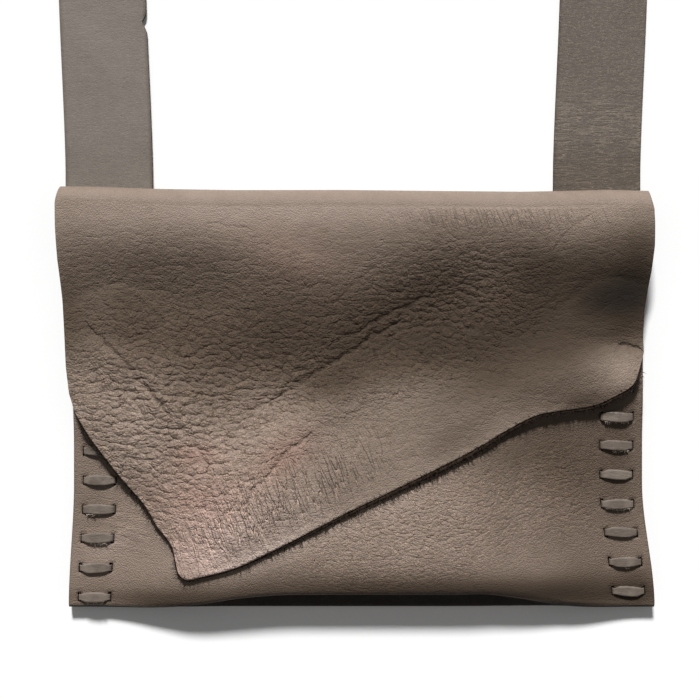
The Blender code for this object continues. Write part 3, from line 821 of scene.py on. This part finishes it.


# Patches of painted shading (in powers of two), darker in the flap's hollows and lighter where it
# faces the light, of coarse pebbling, of pull wrinkles and of a rosy stain
FLAP_PAINTED_SHADING = [
    (-98, 60, 48, 20, 0, -0.40), (30, 54, 30, 22, 14, -0.70), (128, 58, 22, 24, 0, -1.10),
    (76, 36, 62, 30, 10, -1.20), (-36, 20, 44, 22, 12, -0.95), (-108, 26, 36, 22, 0, -0.60),
    (-66, -56, 34, 20, 20, 0.42), (-74, -78, 18, 12, 0, 0.60), (122, 11, 13, 8, 20, 0.55),
    (0, 92, 160, 10, 0, 0.40), (84, 10, 40, 12, 27, -0.35), (0, 41, 220, 16, 0, -0.95),
    (127, 50, 18, 12, 0, -0.90), (38, 22, 52, 17, 0, -0.90), (-3, 10, 22, 12, 20, -0.50),
    (-60, 24, 46, 14, 0, -0.55), (-16, 70, 28, 10, 0, -0.50), (60, 72, 34, 9, 0, -0.50),
    (86, 60, 16, 12, 0, -0.80), (-50, 86, 90, 8, 0, 0.25), (118, 85, 22, 9, 0, 0.35),
    (-76, 0, 24, 14, 0, -0.40), (60, 5, 40, 9, 25, -0.50), (0, 99, 170, 5, 0, -0.35),
    (0, 27, 200, 12, 0, -0.35), (38, 24, 44, 10, 0, -0.30), (-11, 9, 18, 8, 10, -0.50),
    (-70, 12, 36, 10, 0, -0.20), (123, 47, 15, 10, 0, -0.75), (94, 2, 18, 8, 0, -0.40),
    (-60, -66, 24, 14, 10, 0.25), (-20, -58, 18, 12, 0, 0.30), (10, -20, 60, 14, 20, -0.20),
    (-137, 40, 8, 22, 0, -0.55), (121, 47, 16, 10, 0, -0.50), (-14, 5, 14, 12, 20, -0.40),
    (113, -1, 10, 5, 0, -0.60), (-60, 52, 28, 10, 0, -0.40), (84, 58, 12, 8, 0, -0.40),
    (-104, -2, 10, 14, 0, 0.30), (70, -2, 60, 6, 25, 0.10), (110, 48, 9, 9, 0, -0.60),
    (132, 50, 8, 10, 0, -0.45), (104, -3, 9, 4, 0, -0.60), (113, 9, 12, 6, 0, -0.35),
    (-55, -62, 40, 20, 25, 0.25), (-44, -78, 28, 8, 28, 0.35), (-110, 50, 24, 8, 0, -0.35),
    (-30, 42, 60, 9, 0, -0.15), (-96, 30, 30, 8, 0, -0.15), (-48, -76, 32, 6, 28, 0.45),
    (-10, -20, 14, 8, 0, 0.15), (131, 55, 13, 10, 0, -0.70), (115, 31, 9, 8, 0, 0.40),
    (38, 37, 40, 14, 0, 0.38), (56, 48, 12, 8, 0, 0.15), (49, -18, 13, 8, 20, -0.55),
    (38, -25, 9, 5, 25, -0.30), (106, -3, 9, 4, 0, -0.35), (-120, 20, 14, 8, 0, 0.25),
    (-20, 17, 14, 7, 0, 0.30), (124, 65, 14, 6, 0, 0.40), (80, 16, 12, 7, 0, 0.25),
    (133, 72, 10, 12, 0, -0.50),
]
# The grain is tight on the roll and a little coarser below it
FLAP_COARSE, MORE_COARSE = 0.05, 0.12
TIGHT_Y, TIGHT_RUN = 0.070, 0.018
FLAP_PEBBLES = [
    (-90, -12, 50, 50, 0, 0.95), (42, 42, 40, 24, 15, 0.80), (-30, 18, 60, 28, 0, 0.40),
]
FLAP_WRINKLES = [(-55, -56, 36, 15, 28, 1.2), (-14, -36, 32, 11, 28, 0.8),
                 (66, 85, 52, 6, 0, 0.45)]
FLAP_ROSY = [
    (-76, -26, 12, 6, 0, 0.6), (-34, -26, 16, 9, 35, 0.7), (-74, -48, 26, 16, 0, 0.6),
    (-30, 66, 26, 14, -20, 0.35), (-78, -76, 20, 14, 0, 0.4),
]


# Bag body

def walk(y, z, heading, moves):
    steps = 8
    points = [(y, z)]
    for turn, length in moves:
        bend = turn / steps
        stride = length / steps * (math.sin(bend / 2) / (bend / 2) if bend else 1)
        for _ in range(steps):
            y += stride * math.cos(heading + bend / 2)
            z += stride * math.sin(heading + bend / 2)
            heading += bend
            points.append((y, z))
    return np.array(points)


def bottom_section(x, steps):
    """The bottom fold's outer line at x, plain at the corners and tucked inwards between them."""
    tuck = float(1 - smooth(TUCK_FLAT, TUCK_RUN, abs(x - TUCK_CENTRE)))
    angle = math.atan(math.tan(TUCK_ANGLE) * tuck)
    start_y = BOTTOM_Y + FOLD_RADIUS
    start_z = float(back_height(x, start_y))
    front_y = start_y
    for _ in range(8):
        height = float(full_front_height(x, front_y))
        rise = float(full_front_height(x, front_y + LEATHER)) - height
        slant = math.atan(rise / LEATHER)
        folds = FOLD_RADIUS * (1 + 2 * math.sin(angle) + math.cos(slant))
        folds += 2 * TUCK_RADIUS * math.sin(angle)
        legs = max(height - start_z - folds, 0.0) / math.cos(angle)
        front_y = start_y + (1 - 2 * UPPER_LEG_SHARE) * legs * math.sin(angle)
        front_y -= FOLD_RADIUS * math.sin(slant)
    lower, upper = math.pi / 2 + angle, math.pi / 2 + angle - slant
    moves = [
        (-lower, lower * FOLD_RADIUS), (0, (1 - UPPER_LEG_SHARE) * legs),
        (2 * angle, 2 * angle * TUCK_RADIUS), (0, UPPER_LEG_SHARE * legs),
        (-upper, upper * FOLD_RADIUS),
    ]
    return evenly(walk(start_y, start_z, math.pi, moves), steps)


def make_bag(middle_columns=128, fold_steps=30):
    inward, column_slits = divided(-SEAM_MARGIN, slit_spans((0, BAR_LENGTH), SLIT_WIDTH, (3, 8), 1))
    inward = np.array(inward)
    across = np.linspace(0, 1, middle_columns + 1)[1:-1]
    start_y = BOTTOM_Y + FOLD_RADIUS
    up, down = {}, {}
    for side in (LEFT, RIGHT):
        fine = slit_spans(stitch_heights(side), SLIT_LENGTH, 5, 4)
        plain = slit_spans(stitch_heights(side), SLIT_LENGTH, 3, 2)
        up[side] = divided(start_y, fine + [(FRONT_TOP_Y, 5, False)])
        down[side] = divided(start_y, plain + [(JOIN_Y, 3, False)])

    def columns_at(y_left, y_right):
        """X and Y of a row of points, which crosses the bag from one seam's line to the other's."""
        left = seam_x(LEFT, y_left, inward)
        right = seam_x(RIGHT, y_right, inward)[::-1]
        x = np.concatenate([left, left[-1] + (right[0] - left[-1]) * across, right])
        share = np.concatenate([0 * left, across, 0 * right + 1])
        return x, y_left + (y_right - y_left) * share

    rows = []
    slit_columns = np.array(column_slits + [False] * middle_columns + column_slits[::-1])
    back_left, back_right = down[LEFT][0][::-1], down[RIGHT][0][::-1]
    for y_left, y_right in zip(back_left, back_right):
        x, y = columns_at(y_left, y_right)
        rows.append(np.stack([x, y, back_height(x, y)], axis=-1))
    corners = rows[-1][:, 0]
    sections = np.stack([bottom_section(x, fold_steps) for x in corners], axis=1)
    rise = (sections[..., 1] - sections[0, :, 1]) / (sections[-1, :, 1] - sections[0, :, 1])
    sections[..., 0] += LEAN_BACK * np.exp(-((corners - LEAN_X) / LEAN_REACH) ** 2) * rise
    for section in sections[1:]:
        rows.append(np.concatenate([corners[:, None], section], axis=1))
    front_y = sections[-1][:, 0]
    for y_left, y_right in zip(up[LEFT][0][1:], up[RIGHT][0][1:]):
        x, y = columns_at(y_left, y_right)
        y = y + (front_y - start_y) * (1 - smooth(start_y, FOOT_RUN, y))
        rows.append(np.stack([x, y, front_height(x, y)], axis=-1))
    points = np.array(rows)

    slit_rows = np.array(down[LEFT][1][::-1] + [False] * fold_steps + up[LEFT][1])
    holes = slit_rows[:, None] & slit_columns[None, :]
    flat = np.stack([points[..., 0], along_hide(points)], axis=-1)
    px, py = points[..., 0], points[..., 1]
    front = np.zeros(px.shape)
    front[len(back_left) + fold_steps // 2:] = 1
    tone = front * mounds(px, py, FRONT_PAINTED_SHADING)
    fold_end = len(back_left) + fold_steps
    # Painted shade makes the tucked bottom nearly black
    tone[len(back_left) + 4:fold_end - 7] += TUCK_PAINTED_SHADE
    # A painted highlight lightens the front's lower edge where it turns under, most where the
    # bottom is tucked
    lit_edge_share = 1 - smooth(TUCK_FLAT, TUCK_RUN, np.abs(corners - TUCK_CENTRE))
    tone[fold_end - 6:fold_end - 3] += EDGE_PAINTED_HIGHLIGHT * lit_edge_share
    coarse = FRONT_COARSE + front * mounds(px, py, FRONT_PEBBLES)
    wrinkled = front * mounds(px, py, FRONT_WRINKLES)
    return make_sheet("bag_leather", points, flat, hide_values(tone, coarse, wrinkled), HIDE, holes)


# Painted shade that makes the tuck dark and a painted highlight where the front's lower edge turns
# under, pebbling of the whole front, and patches of painted shading, of pebbling and of wrinkles as
# on the flap
TUCK_PAINTED_SHADE, EDGE_PAINTED_HIGHLIGHT, FRONT_COARSE = -4.4, 1.5, 0.18
FRONT_PAINTED_SHADING = [
    (106, -40, 26, 44, 0, -0.55), (126, -20, 14, 50, 0, -0.60), (108, -84, 16, 10, 0, -0.4),
    (-128, -40, 12, 50, 0, -0.2), (30, -54, 40, 20, 10, 0.15), (20, -90, 90, 6, 0, -1.25),
    (0, -95, 140, 4, 0, -1.2), (84, -24, 34, 20, 0, -0.75), (110, -6, 24, 8, 0, -0.1),
    (-86, -95, 34, 5, 0, -1.0), (100, -92, 30, 6, 0, -0.7), (128, -92, 10, 8, 0, -0.8),
    (98, -97.6, 22, 1.7, 0, -2.5), (-78, -97.6, 22, 1.6, 0, -2.0), (126, -30, 10, 32, 0, -0.25),
    (135, -88, 8, 12, 0, -0.8), (74, -22, 30, 12, 25, -0.35), (40, -87, 100, 7, 0, -0.60),
    (56, -93, 90, 5, 0, -1.00), (104, -36, 20, 18, 0, -0.25), (-122, -72, 12, 8, 0, 0.35),
    (-124, -52, 12, 8, 0, -0.20), (96, -30, 26, 26, 0, -0.18), (66, -45, 12, 30, 0, -0.28),
    (-42, -77, 32, 5, 27, 0.55), (12, -48, 20, 8, 28, 0.25), (-100, -60, 22, 22, 0, 0.20),
]
FRONT_PEBBLES = [(32, -60, 60, 26, 18, 0.85), (100, -40, 20, 25, 0, 0.3)]
FRONT_WRINKLES = [(92, -35, 12, 20, 0, 0.4), (-110, -62, 14, 12, 0, 0.5)]


# Strap

def strap_line(step):
    """(x, y, turn, tilt) from the left end round the loop to the right end."""
    spread = STRAP_X + STRAP_LEAN
    legs = STRAP_LENGTH - math.pi * spread
    arch_y = (strap_end(LEFT) + strap_end(RIGHT) + legs) / 2
    flat_end = arch_y - STRAP_TWIST_RUN

    def leg(side):
        spans = slit_spans(stitch_heights(side)[-LACED_STITCHES:], SLIT_LENGTH, 3, 2)
        rest = int((arch_y - spans[-1][0]) / step)
        y, slits = divided(strap_end(side), spans + [(arch_y, rest, False)])
        y = np.array(y)
        x = side * (STRAP_X + STRAP_LEAN * smooth(HINGE_Y, STRAP_LEAN_RUN, y))
        tilt = math.pi / 2 * smooth(flat_end, STRAP_TWIST_RUN, y)
        turn = np.full(len(y), 0.0 if side == LEFT else math.pi)
        return np.stack([x, y, turn, tilt], axis=1), slits

    left, left_slits = leg(LEFT)
    right, right_slits = leg(RIGHT)
    count = int(math.pi * spread / step)
    angle = np.linspace(math.pi, 0, count + 1)[1:-1]
    arch = np.stack([
        spread * np.cos(angle), arch_y + spread * np.sin(angle), math.pi - angle,
        np.full(len(angle), math.pi / 2)], axis=1)
    slits = left_slits + [False] * (len(arch) + 1) + right_slits[::-1]
    return np.concatenate([left, arch, right[::-1]]), np.array(slits)


def make_strap(step=2.6 * MM):
    stations, slit_rows = strap_line(step)
    x, y, turn, tilt = stations.T
    over = LACE_LIFT * (1 - smooth(HINGE_Y, STRAP_SETTLE, y))
    middle = over + (LEATHER * np.cos(tilt) + STRAP_WIDTH * np.sin(tilt)) / 2
    laced = np.minimum(y, FRONT_TOP_Y)
    outer = STRAP_WIDTH / 2
    side = np.where(np.cos(turn) > 0, LEFT, RIGHT)
    edge = np.where(side == LEFT, -body_edge(LEFT, laced), body_edge(RIGHT, laced))
    centre = STRAP_X + side * STRAP_SHIFT
    flat_edge = centre + STRAP_WIDTH / 2
    trimmed = np.clip(flat_edge - edge + TRIM_GAP, 0, None) * (1 - smooth(TRIM_Y, TRIM_RUN, y))
    seams = [flat_edge - edge + SEAM_MARGIN + place for place in (0, BAR_LENGTH)]
    spans = slit_spans(seams, SLIT_WIDTH, (3, 6), 1) + [(0 * edge + STRAP_WIDTH, 8, False)]
    lines, slits = divided(trimmed, spans)
    inward = np.stack(lines, axis=1)
    reach = outer - inward
    nick = NICK_DEPTH * np.exp(-((y - NICK_Y) / NICK_REACH) ** 2) * (side == LEFT)
    reach = np.maximum(reach, nick[:, None] - outer)
    flat_reach = reach * np.cos(tilt)[:, None]
    px = STRAP_SHIFT + x[:, None] - flat_reach * np.cos(turn)[:, None]
    py = y[:, None] + flat_reach * np.sin(turn)[:, None]
    pz = middle[:, None] + reach * np.sin(tilt)[:, None]
    points = np.stack([px, py, pz], axis=-1)
    along = path_lengths(stations[:, :2])
    flat = np.stack([inward, along[:, None] + 0 * inward], axis=-1)
    holes = slit_rows[:, None] & np.array(slits)[None, :]
    # The right leg is darker, coarser and more wrinkled, and both are shaded beside the roll
    right = px > 0
    near_roll = np.exp(-((py - ROLL_SHADE_Y) / ROLL_SHADE_REACH) ** 2)
    shade = np.where(right, -0.75, -0.10) * (1 - smooth(0.35, 0.2, py))
    shade = shade - np.where(right, 0.45, 0.25) * near_roll
    wrinkled = np.where(right, 0.15 + 0.55 * (1 - smooth(0.13, 0.03, py)), 0.08)
    values = hide_values(shade, np.where(right, 0.55, 0.3), wrinkled)
    return make_sheet("strap_leather", points, flat, values, STRAP_HIDE, holes, offset=0.0)


# Geometry Nodes trees

def geometry_tree(name, **inputs):
    """A tree that takes a curve, the named inputs and a finish, and gives a mesh."""
    tree = bpy.data.node_groups.new(name, "GeometryNodeTree")
    sockets = {"Geometry": GEOMETRY, **inputs, "Finish": MATERIAL}
    for label, kind in sockets.items():
        tree.interface.new_socket(label.replace("_", " "), in_out="INPUT", socket_type=kind)
    tree.interface.new_socket("Geometry", in_out="OUTPUT", socket_type=GEOMETRY)
    return tree, tree.nodes.new("NodeGroupInput").outputs


def evened(tree, curve, length):
    return wire(tree, "GeometryNodeResampleCurve", {"Curve": curve, "Length": length},
                mode="LENGTH").outputs["Curve"]


def sweep(tree, curve, profile, grain, ragged):
    """Sweeps a profile along a curve, as large as the curve's radius says, and roughens it."""
    swept = wire(tree, "GeometryNodeCurveToMesh", {
        "Curve": curve, "Profile Curve": profile,
        "Scale": tree.nodes.new("GeometryNodeInputRadius").outputs[0], "Fill Caps": True})
    place = tree.nodes.new("GeometryNodeInputPosition").outputs[0]
    return wire(tree, "GeometryNodeSetPosition", {
        "Geometry": swept.outputs["Mesh"], "Offset": stray(tree, place, grain, 2.0, ragged),
    }).outputs["Geometry"]


def end_tree(tree, given, made):
    """Makes all of it real, gives it its finish and puts it out."""
    real = wire(tree, "GeometryNodeRealizeInstances", {"Geometry": made})
    finish = wire(tree, "GeometryNodeSetMaterial", {
        "Geometry": real.outputs["Geometry"], "Material": given["Finish"]})
    wire(tree, "NodeGroupOutput", {"Geometry": finish.outputs["Geometry"]})
    return tree


def make_thong_tree():
    """Sweeps a rounded flat profile along a path, with its width kept along Y."""
    tree, given = geometry_tree("thong sweep", Width=FLOAT, Thickness=FLOAT, Ragged=FLOAT)
    path = wire(tree, "GeometryNodeSetCurveNormal", {"Curve": given["Geometry"]}, mode="FREE")
    path.inputs["Normal"].default_value = (0.0, 1.0, 0.0)
    profile = wire(tree, "GeometryNodeCurvePrimitiveQuadrilateral", {
        "Width": given["Width"], "Height": given["Thickness"]})
    rounded = wire(tree, "GeometryNodeFilletCurve", {
        "Curve": profile.outputs["Curve"], "Count": 4, "Radius": 0.55 * MM}, mode="POLY")
    made = sweep(tree, evened(tree, path.outputs["Curve"], 0.5 * MM),
                 evened(tree, rounded.outputs["Curve"], 0.40 * MM), 420.0, given["Ragged"])
    return end_tree(tree, given, made)


def make_fibre_tree():
    """A fuzzy core along a path, as thick as the path's radius, with loose hairs on it."""
    tree, given = geometry_tree("fibre fringe", Roughness=FLOAT, Density=FLOAT,
                                Hair_length=FLOAT, Hair_thickness=FLOAT, Seed=WHOLE)
    circle = wire(tree, "GeometryNodeCurvePrimitiveCircle", {"Resolution": 8, "Radius": 1.0})
    core = sweep(tree, evened(tree, given["Geometry"], 0.8 * MM), circle.outputs["Curve"], 700.0,
                 given["Roughness"])
    roots = wire(tree, "GeometryNodeDistributePointsOnFaces", {
        "Mesh": core, "Density": given["Density"], "Seed": given["Seed"]})
    hair = wire(tree, "GeometryNodeMeshCone", {
        "Vertices": 3, "Side Segments": 3, "Radius Top": 0.0,
        "Radius Bottom": given["Hair thickness"], "Depth": given["Hair length"]})
    tilt = wire(tree, "FunctionNodeRandomValue", {
        "Min": (-0.8, -0.8, -3.1), "Max": (0.8, 0.8, 3.1), "Seed": 5}, data_type="FLOAT_VECTOR")
    size = wire(tree, "FunctionNodeRandomValue", {2: 0.35, 3: 1.2, "Seed": 9})
    turned = wire(tree, "FunctionNodeRotateRotation", {
        "Rotation": roots.outputs["Rotation"], "Rotate By": tilt.outputs["Value"]},
        rotation_space="LOCAL")
    hairs = wire(tree, "GeometryNodeInstanceOnPoints", {
        "Points": roots.outputs["Points"], "Instance": hair.outputs["Mesh"],
        "Rotation": turned.outputs["Rotation"], "Scale": size.outputs[1]})
    joined = tree.nodes.new("GeometryNodeJoinGeometry")
    for part in (core, hairs.outputs["Instances"]):
        tree.links.new(part, joined.inputs[0])
    return end_tree(tree, given, joined.outputs["Geometry"])


def run_tree(source, tree, name, **inputs):
    """Runs a Geometry Nodes tree once on the source, and keeps what it makes as a plain mesh."""
    modifier = source.modifiers.new(tree.name, "NODES")
    modifier.node_group = tree
    for item in tree.interface.items_tree:
        label = item.name.replace(" ", "_")
        if item.item_type == "SOCKET" and item.in_out == "INPUT" and label in inputs:
            modifier[item.identifier] = inputs[label]
    bpy.context.view_layer.update()
    evaluated = source.evaluated_get(bpy.context.evaluated_depsgraph_get())
    mesh = bpy.data.meshes.new_from_object(evaluated)
    mesh.name = name
    bpy.data.objects.remove(source)
    mesh.shade_smooth()
    return add_object(name, mesh)


def path_object(name, *lines):
    """A curve of several lines, each given as its points and its radius at each point."""
    curve = bpy.data.curves.new(name, "CURVE")
    curve.dimensions = "3D"
    for points, radii in lines:
        spline = curve.splines.new("POLY")
        spline.points.add(len(points) - 1)
        for point, place, radius in zip(spline.points, points, radii):
            point.co = (*place, 1.0)
            point.radius = radius
    return add_object(name, curve)


# Thongs

def lace_path(side):
    """Points along the middle of a thong: over a bar on the front, and slanting back behind."""
    random = np.random.default_rng(11 if side == LEFT else 12)
    under, bend = LACE_THICKNESS / 2, LACE_BEND
    stations = stitch_heights(side)
    line, width = [(bend + LACE_TAIL, stations[0], under)], [0.8]

    def corner(inward, z, first, last, y):
        for angle in np.linspace(first, last, 4):
            line.append((inward + bend * math.cos(angle), y, z + bend * math.sin(angle)))
            width.append(pinch)

    quarter = math.pi / 2
    for y in stations:
        slip, lean = random.uniform(-0.3, 0.3) * MM, random.uniform(-0.9, 0.9) * MM
        crown, pinch = random.uniform(0.3, 0.9) * MM, random.uniform(0.58, 0.78)
        over = float(front_height(seam_x(side, y, 0), y)) + SEAT + LACE_THICKNESS / 2
        corner(bend, under + bend, -quarter, -2 * quarter, y)
        corner(bend, over - bend, 2 * quarter, quarter, y + slip)
        for share in np.linspace(0, 1, 7)[1:-1]:
            inward = bend + (BAR_LENGTH - 2 * bend) * share
            line.append((inward, y + slip + lean * (share - 0.5),
                         over + crown * math.sin(math.pi * share)))
            width.append(pinch + (1.03 - pinch) * math.sin(math.pi * share) ** 0.4)
        corner(BAR_LENGTH - bend, over - bend, quarter, 0, y + slip)
        corner(BAR_LENGTH - bend, under + bend, 0, -quarter, y)
    line.append((BAR_LENGTH - bend - LACE_TAIL, stations[-1], under))
    width.append(0.8)
    return [(float(seam_x(side, y, inward)), y, z) for inward, y, z in line], width


def make_thongs():
    tree = make_thong_tree()
    for side, name in ((LEFT, "lace_left"), (RIGHT, "lace_right")):
        source = path_object(name + "_path", lace_path(side))
        piece = run_tree(source, tree, name + "_thong", Width=LACE_WIDTH,
                         Thickness=LACE_THICKNESS, Ragged=0.25 * MM, Finish=THONG)
        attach(piece, "bag")
        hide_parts(name)


# Loose fibres of the cut edges

FIBRES = make_fibre_tree()

# Thickness of the fibres on the raw edge by X, in millimetres; where thick, the dark fringe also
# stands in for the shadow under the edge
FRINGE_AT = [-134, -110, -82, -60, -20, 40, 70, 88, 105, 120, 134]
FRINGE_THICK = [0.50, 0.60, 0.40, 0.40, 0.90, 1.45, 1.10, 0.75, 0.90, 1.00, 0.50]
# The fringe's middle lies this far out and its core is this thick, as shares of its thickness
FRINGE_OUT, FRINGE_RADIUS, FRINGE_DROP = 0.85, 0.75, 0.00095


def make_raw_edge(line):
    """The dark, fibrous cut under the flap's slanted edge, lying out over the front where it also
    stands in for the edge's shadow.
    """
    run = np.gradient(line, axis=0)
    out = np.stack([run[:, 1], -run[:, 0]], axis=1)
    out /= np.linalg.norm(out, axis=1)[:, None]
    thick = np.interp(line[:, 0] / MM, FRINGE_AT, FRINGE_THICK) * MM
    middle = line.copy()
    middle[:, :2] += out * (thick * FRINGE_OUT)[:, None]
    middle[:, 2] -= FRINGE_DROP
    source = path_object("raw_edge_path", (middle[5:-5], thick[5:-5] * FRINGE_RADIUS))
    return run_tree(source, FIBRES, "flap_raw_edge", Roughness=1.3 * MM, Density=1.6e6,
                    Hair_length=3.2 * MM, Hair_thickness=0.19 * MM, Seed=3, Finish=CUT)


# Bars with a ragged lower edge: side, number from the bottom, and the ragged part of the bar
RAGGED_BARS = [
    (LEFT, 0, 0.25, 0.75), (LEFT, 3, 0.10, 0.55), (LEFT, 2, 0.30, 0.80), (RIGHT, 1, 0.35, 0.60),
    (RIGHT, 3, 0.10, 0.85), (RIGHT, 5, 0.10, 0.60), (RIGHT, 6, 0.15, 0.90),
]


def make_bar_fibres():
    """Loose fibres that hang from the lower edge of some bars."""
    lines = []
    for side, number, start, end in RAGGED_BARS:
        y = stitch_heights(side)[number]
        over = float(front_height(seam_x(side, y, 0), y)) + SEAT + LACE_THICKNESS / 2
        lines.append(([
            (float(seam_x(side, y, BAR_LENGTH * share)), y - LACE_WIDTH * 0.5, over + 0.3 * MM)
            for share in np.linspace(start, end, 9)], [0.2 * MM] * 9))
    return run_tree(path_object("bar_fibres_path", *lines), FIBRES, "bar_fibres",
                    Roughness=0.5 * MM, Density=5.0e6, Hair_length=1.7 * MM,
                    Hair_thickness=0.12 * MM, Seed=8, Finish=HAIRS)


# Studio

FLOOR_HALF, FLOOR_Z, FLOOR_GLOW = 30.0, -0.0005, 0.015
SUN_ELEVATION, SUN_ASIDE = math.radians(38), math.radians(5)
SUN_LEVEL, WORLD_LEVEL = 0.87, 0.165
CAMERA_AT, LENS, SENSOR = (-0.0038, 0.02285, 0.750), 80.5, 36


def make_studio():
    floor_mesh = bpy.data.meshes.new("floor")
    corners = [(-1, -1), (1, -1), (1, 1), (-1, 1)]
    floor_mesh.from_pydata(
        [(a * FLOOR_HALF, b * FLOOR_HALF, FLOOR_Z) for a, b in corners], [], [(0, 1, 2, 3)])
    material, tree, shader = new_material("pale floor")
    shader.inputs["Base Color"].default_value = (0.97, 0.97, 0.97, 1)
    shader.inputs["Roughness"].default_value = 0.9
    seen = wire(tree, "ShaderNodeLightPath")
    rays = math_node(tree, "MAXIMUM", seen.outputs["Is Camera Ray"], seen.outputs["Is Glossy Ray"])
    rays = math_node(tree, "MAXIMUM", rays, seen.outputs["Is Transmission Ray"])
    shader.inputs["Emission Color"].default_value = (1, 1, 1, 1)
    feed(tree, shader.inputs["Emission Strength"], times(tree, rays, FLOOR_GLOW))
    floor = add_object("floor", floor_mesh, [material])

    world = bpy.data.worlds.new("studio")
    bpy.context.scene.world = world
    world.use_nodes = True
    background = world.node_tree.nodes["Background"]
    background.inputs["Color"].default_value = (1, 0.99, 0.98, 1)
    background.inputs["Strength"].default_value = WORLD_LEVEL

    key = bpy.data.lights.new("window", "SUN")
    key.angle = math.radians(9)
    key.energy = SUN_LEVEL * math.pi / math.sin(SUN_ELEVATION)
    lamp = add_object("window", key)
    level = math.cos(SUN_ELEVATION)
    towards = Vector((-math.sin(SUN_ASIDE) * level, math.cos(SUN_ASIDE) * level,
                      math.sin(SUN_ELEVATION)))
    lamp.rotation_euler = towards.to_track_quat("Z", "Y").to_euler()

    camera = bpy.data.cameras.new("camera")
    camera.lens = LENS
    camera.sensor_width = SENSOR
    holder = add_object("camera", camera)
    holder.location = CAMERA_AT
    bpy.context.scene.camera = holder
    bpy.context.scene.view_settings.view_transform = "Standard"


make_studio()
flap, raw_line = make_flap()
fringe = make_raw_edge(raw_line)
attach(fringe, "flap")
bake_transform(flap)
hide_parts("flap")
bag = make_bag()
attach(bag, "bag")
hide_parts("bag_body")
strap = make_strap()
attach(strap, "bag")
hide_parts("strap")
make_thongs()
bar_fibres = make_bar_fibres()
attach(bar_fibres, "bag")
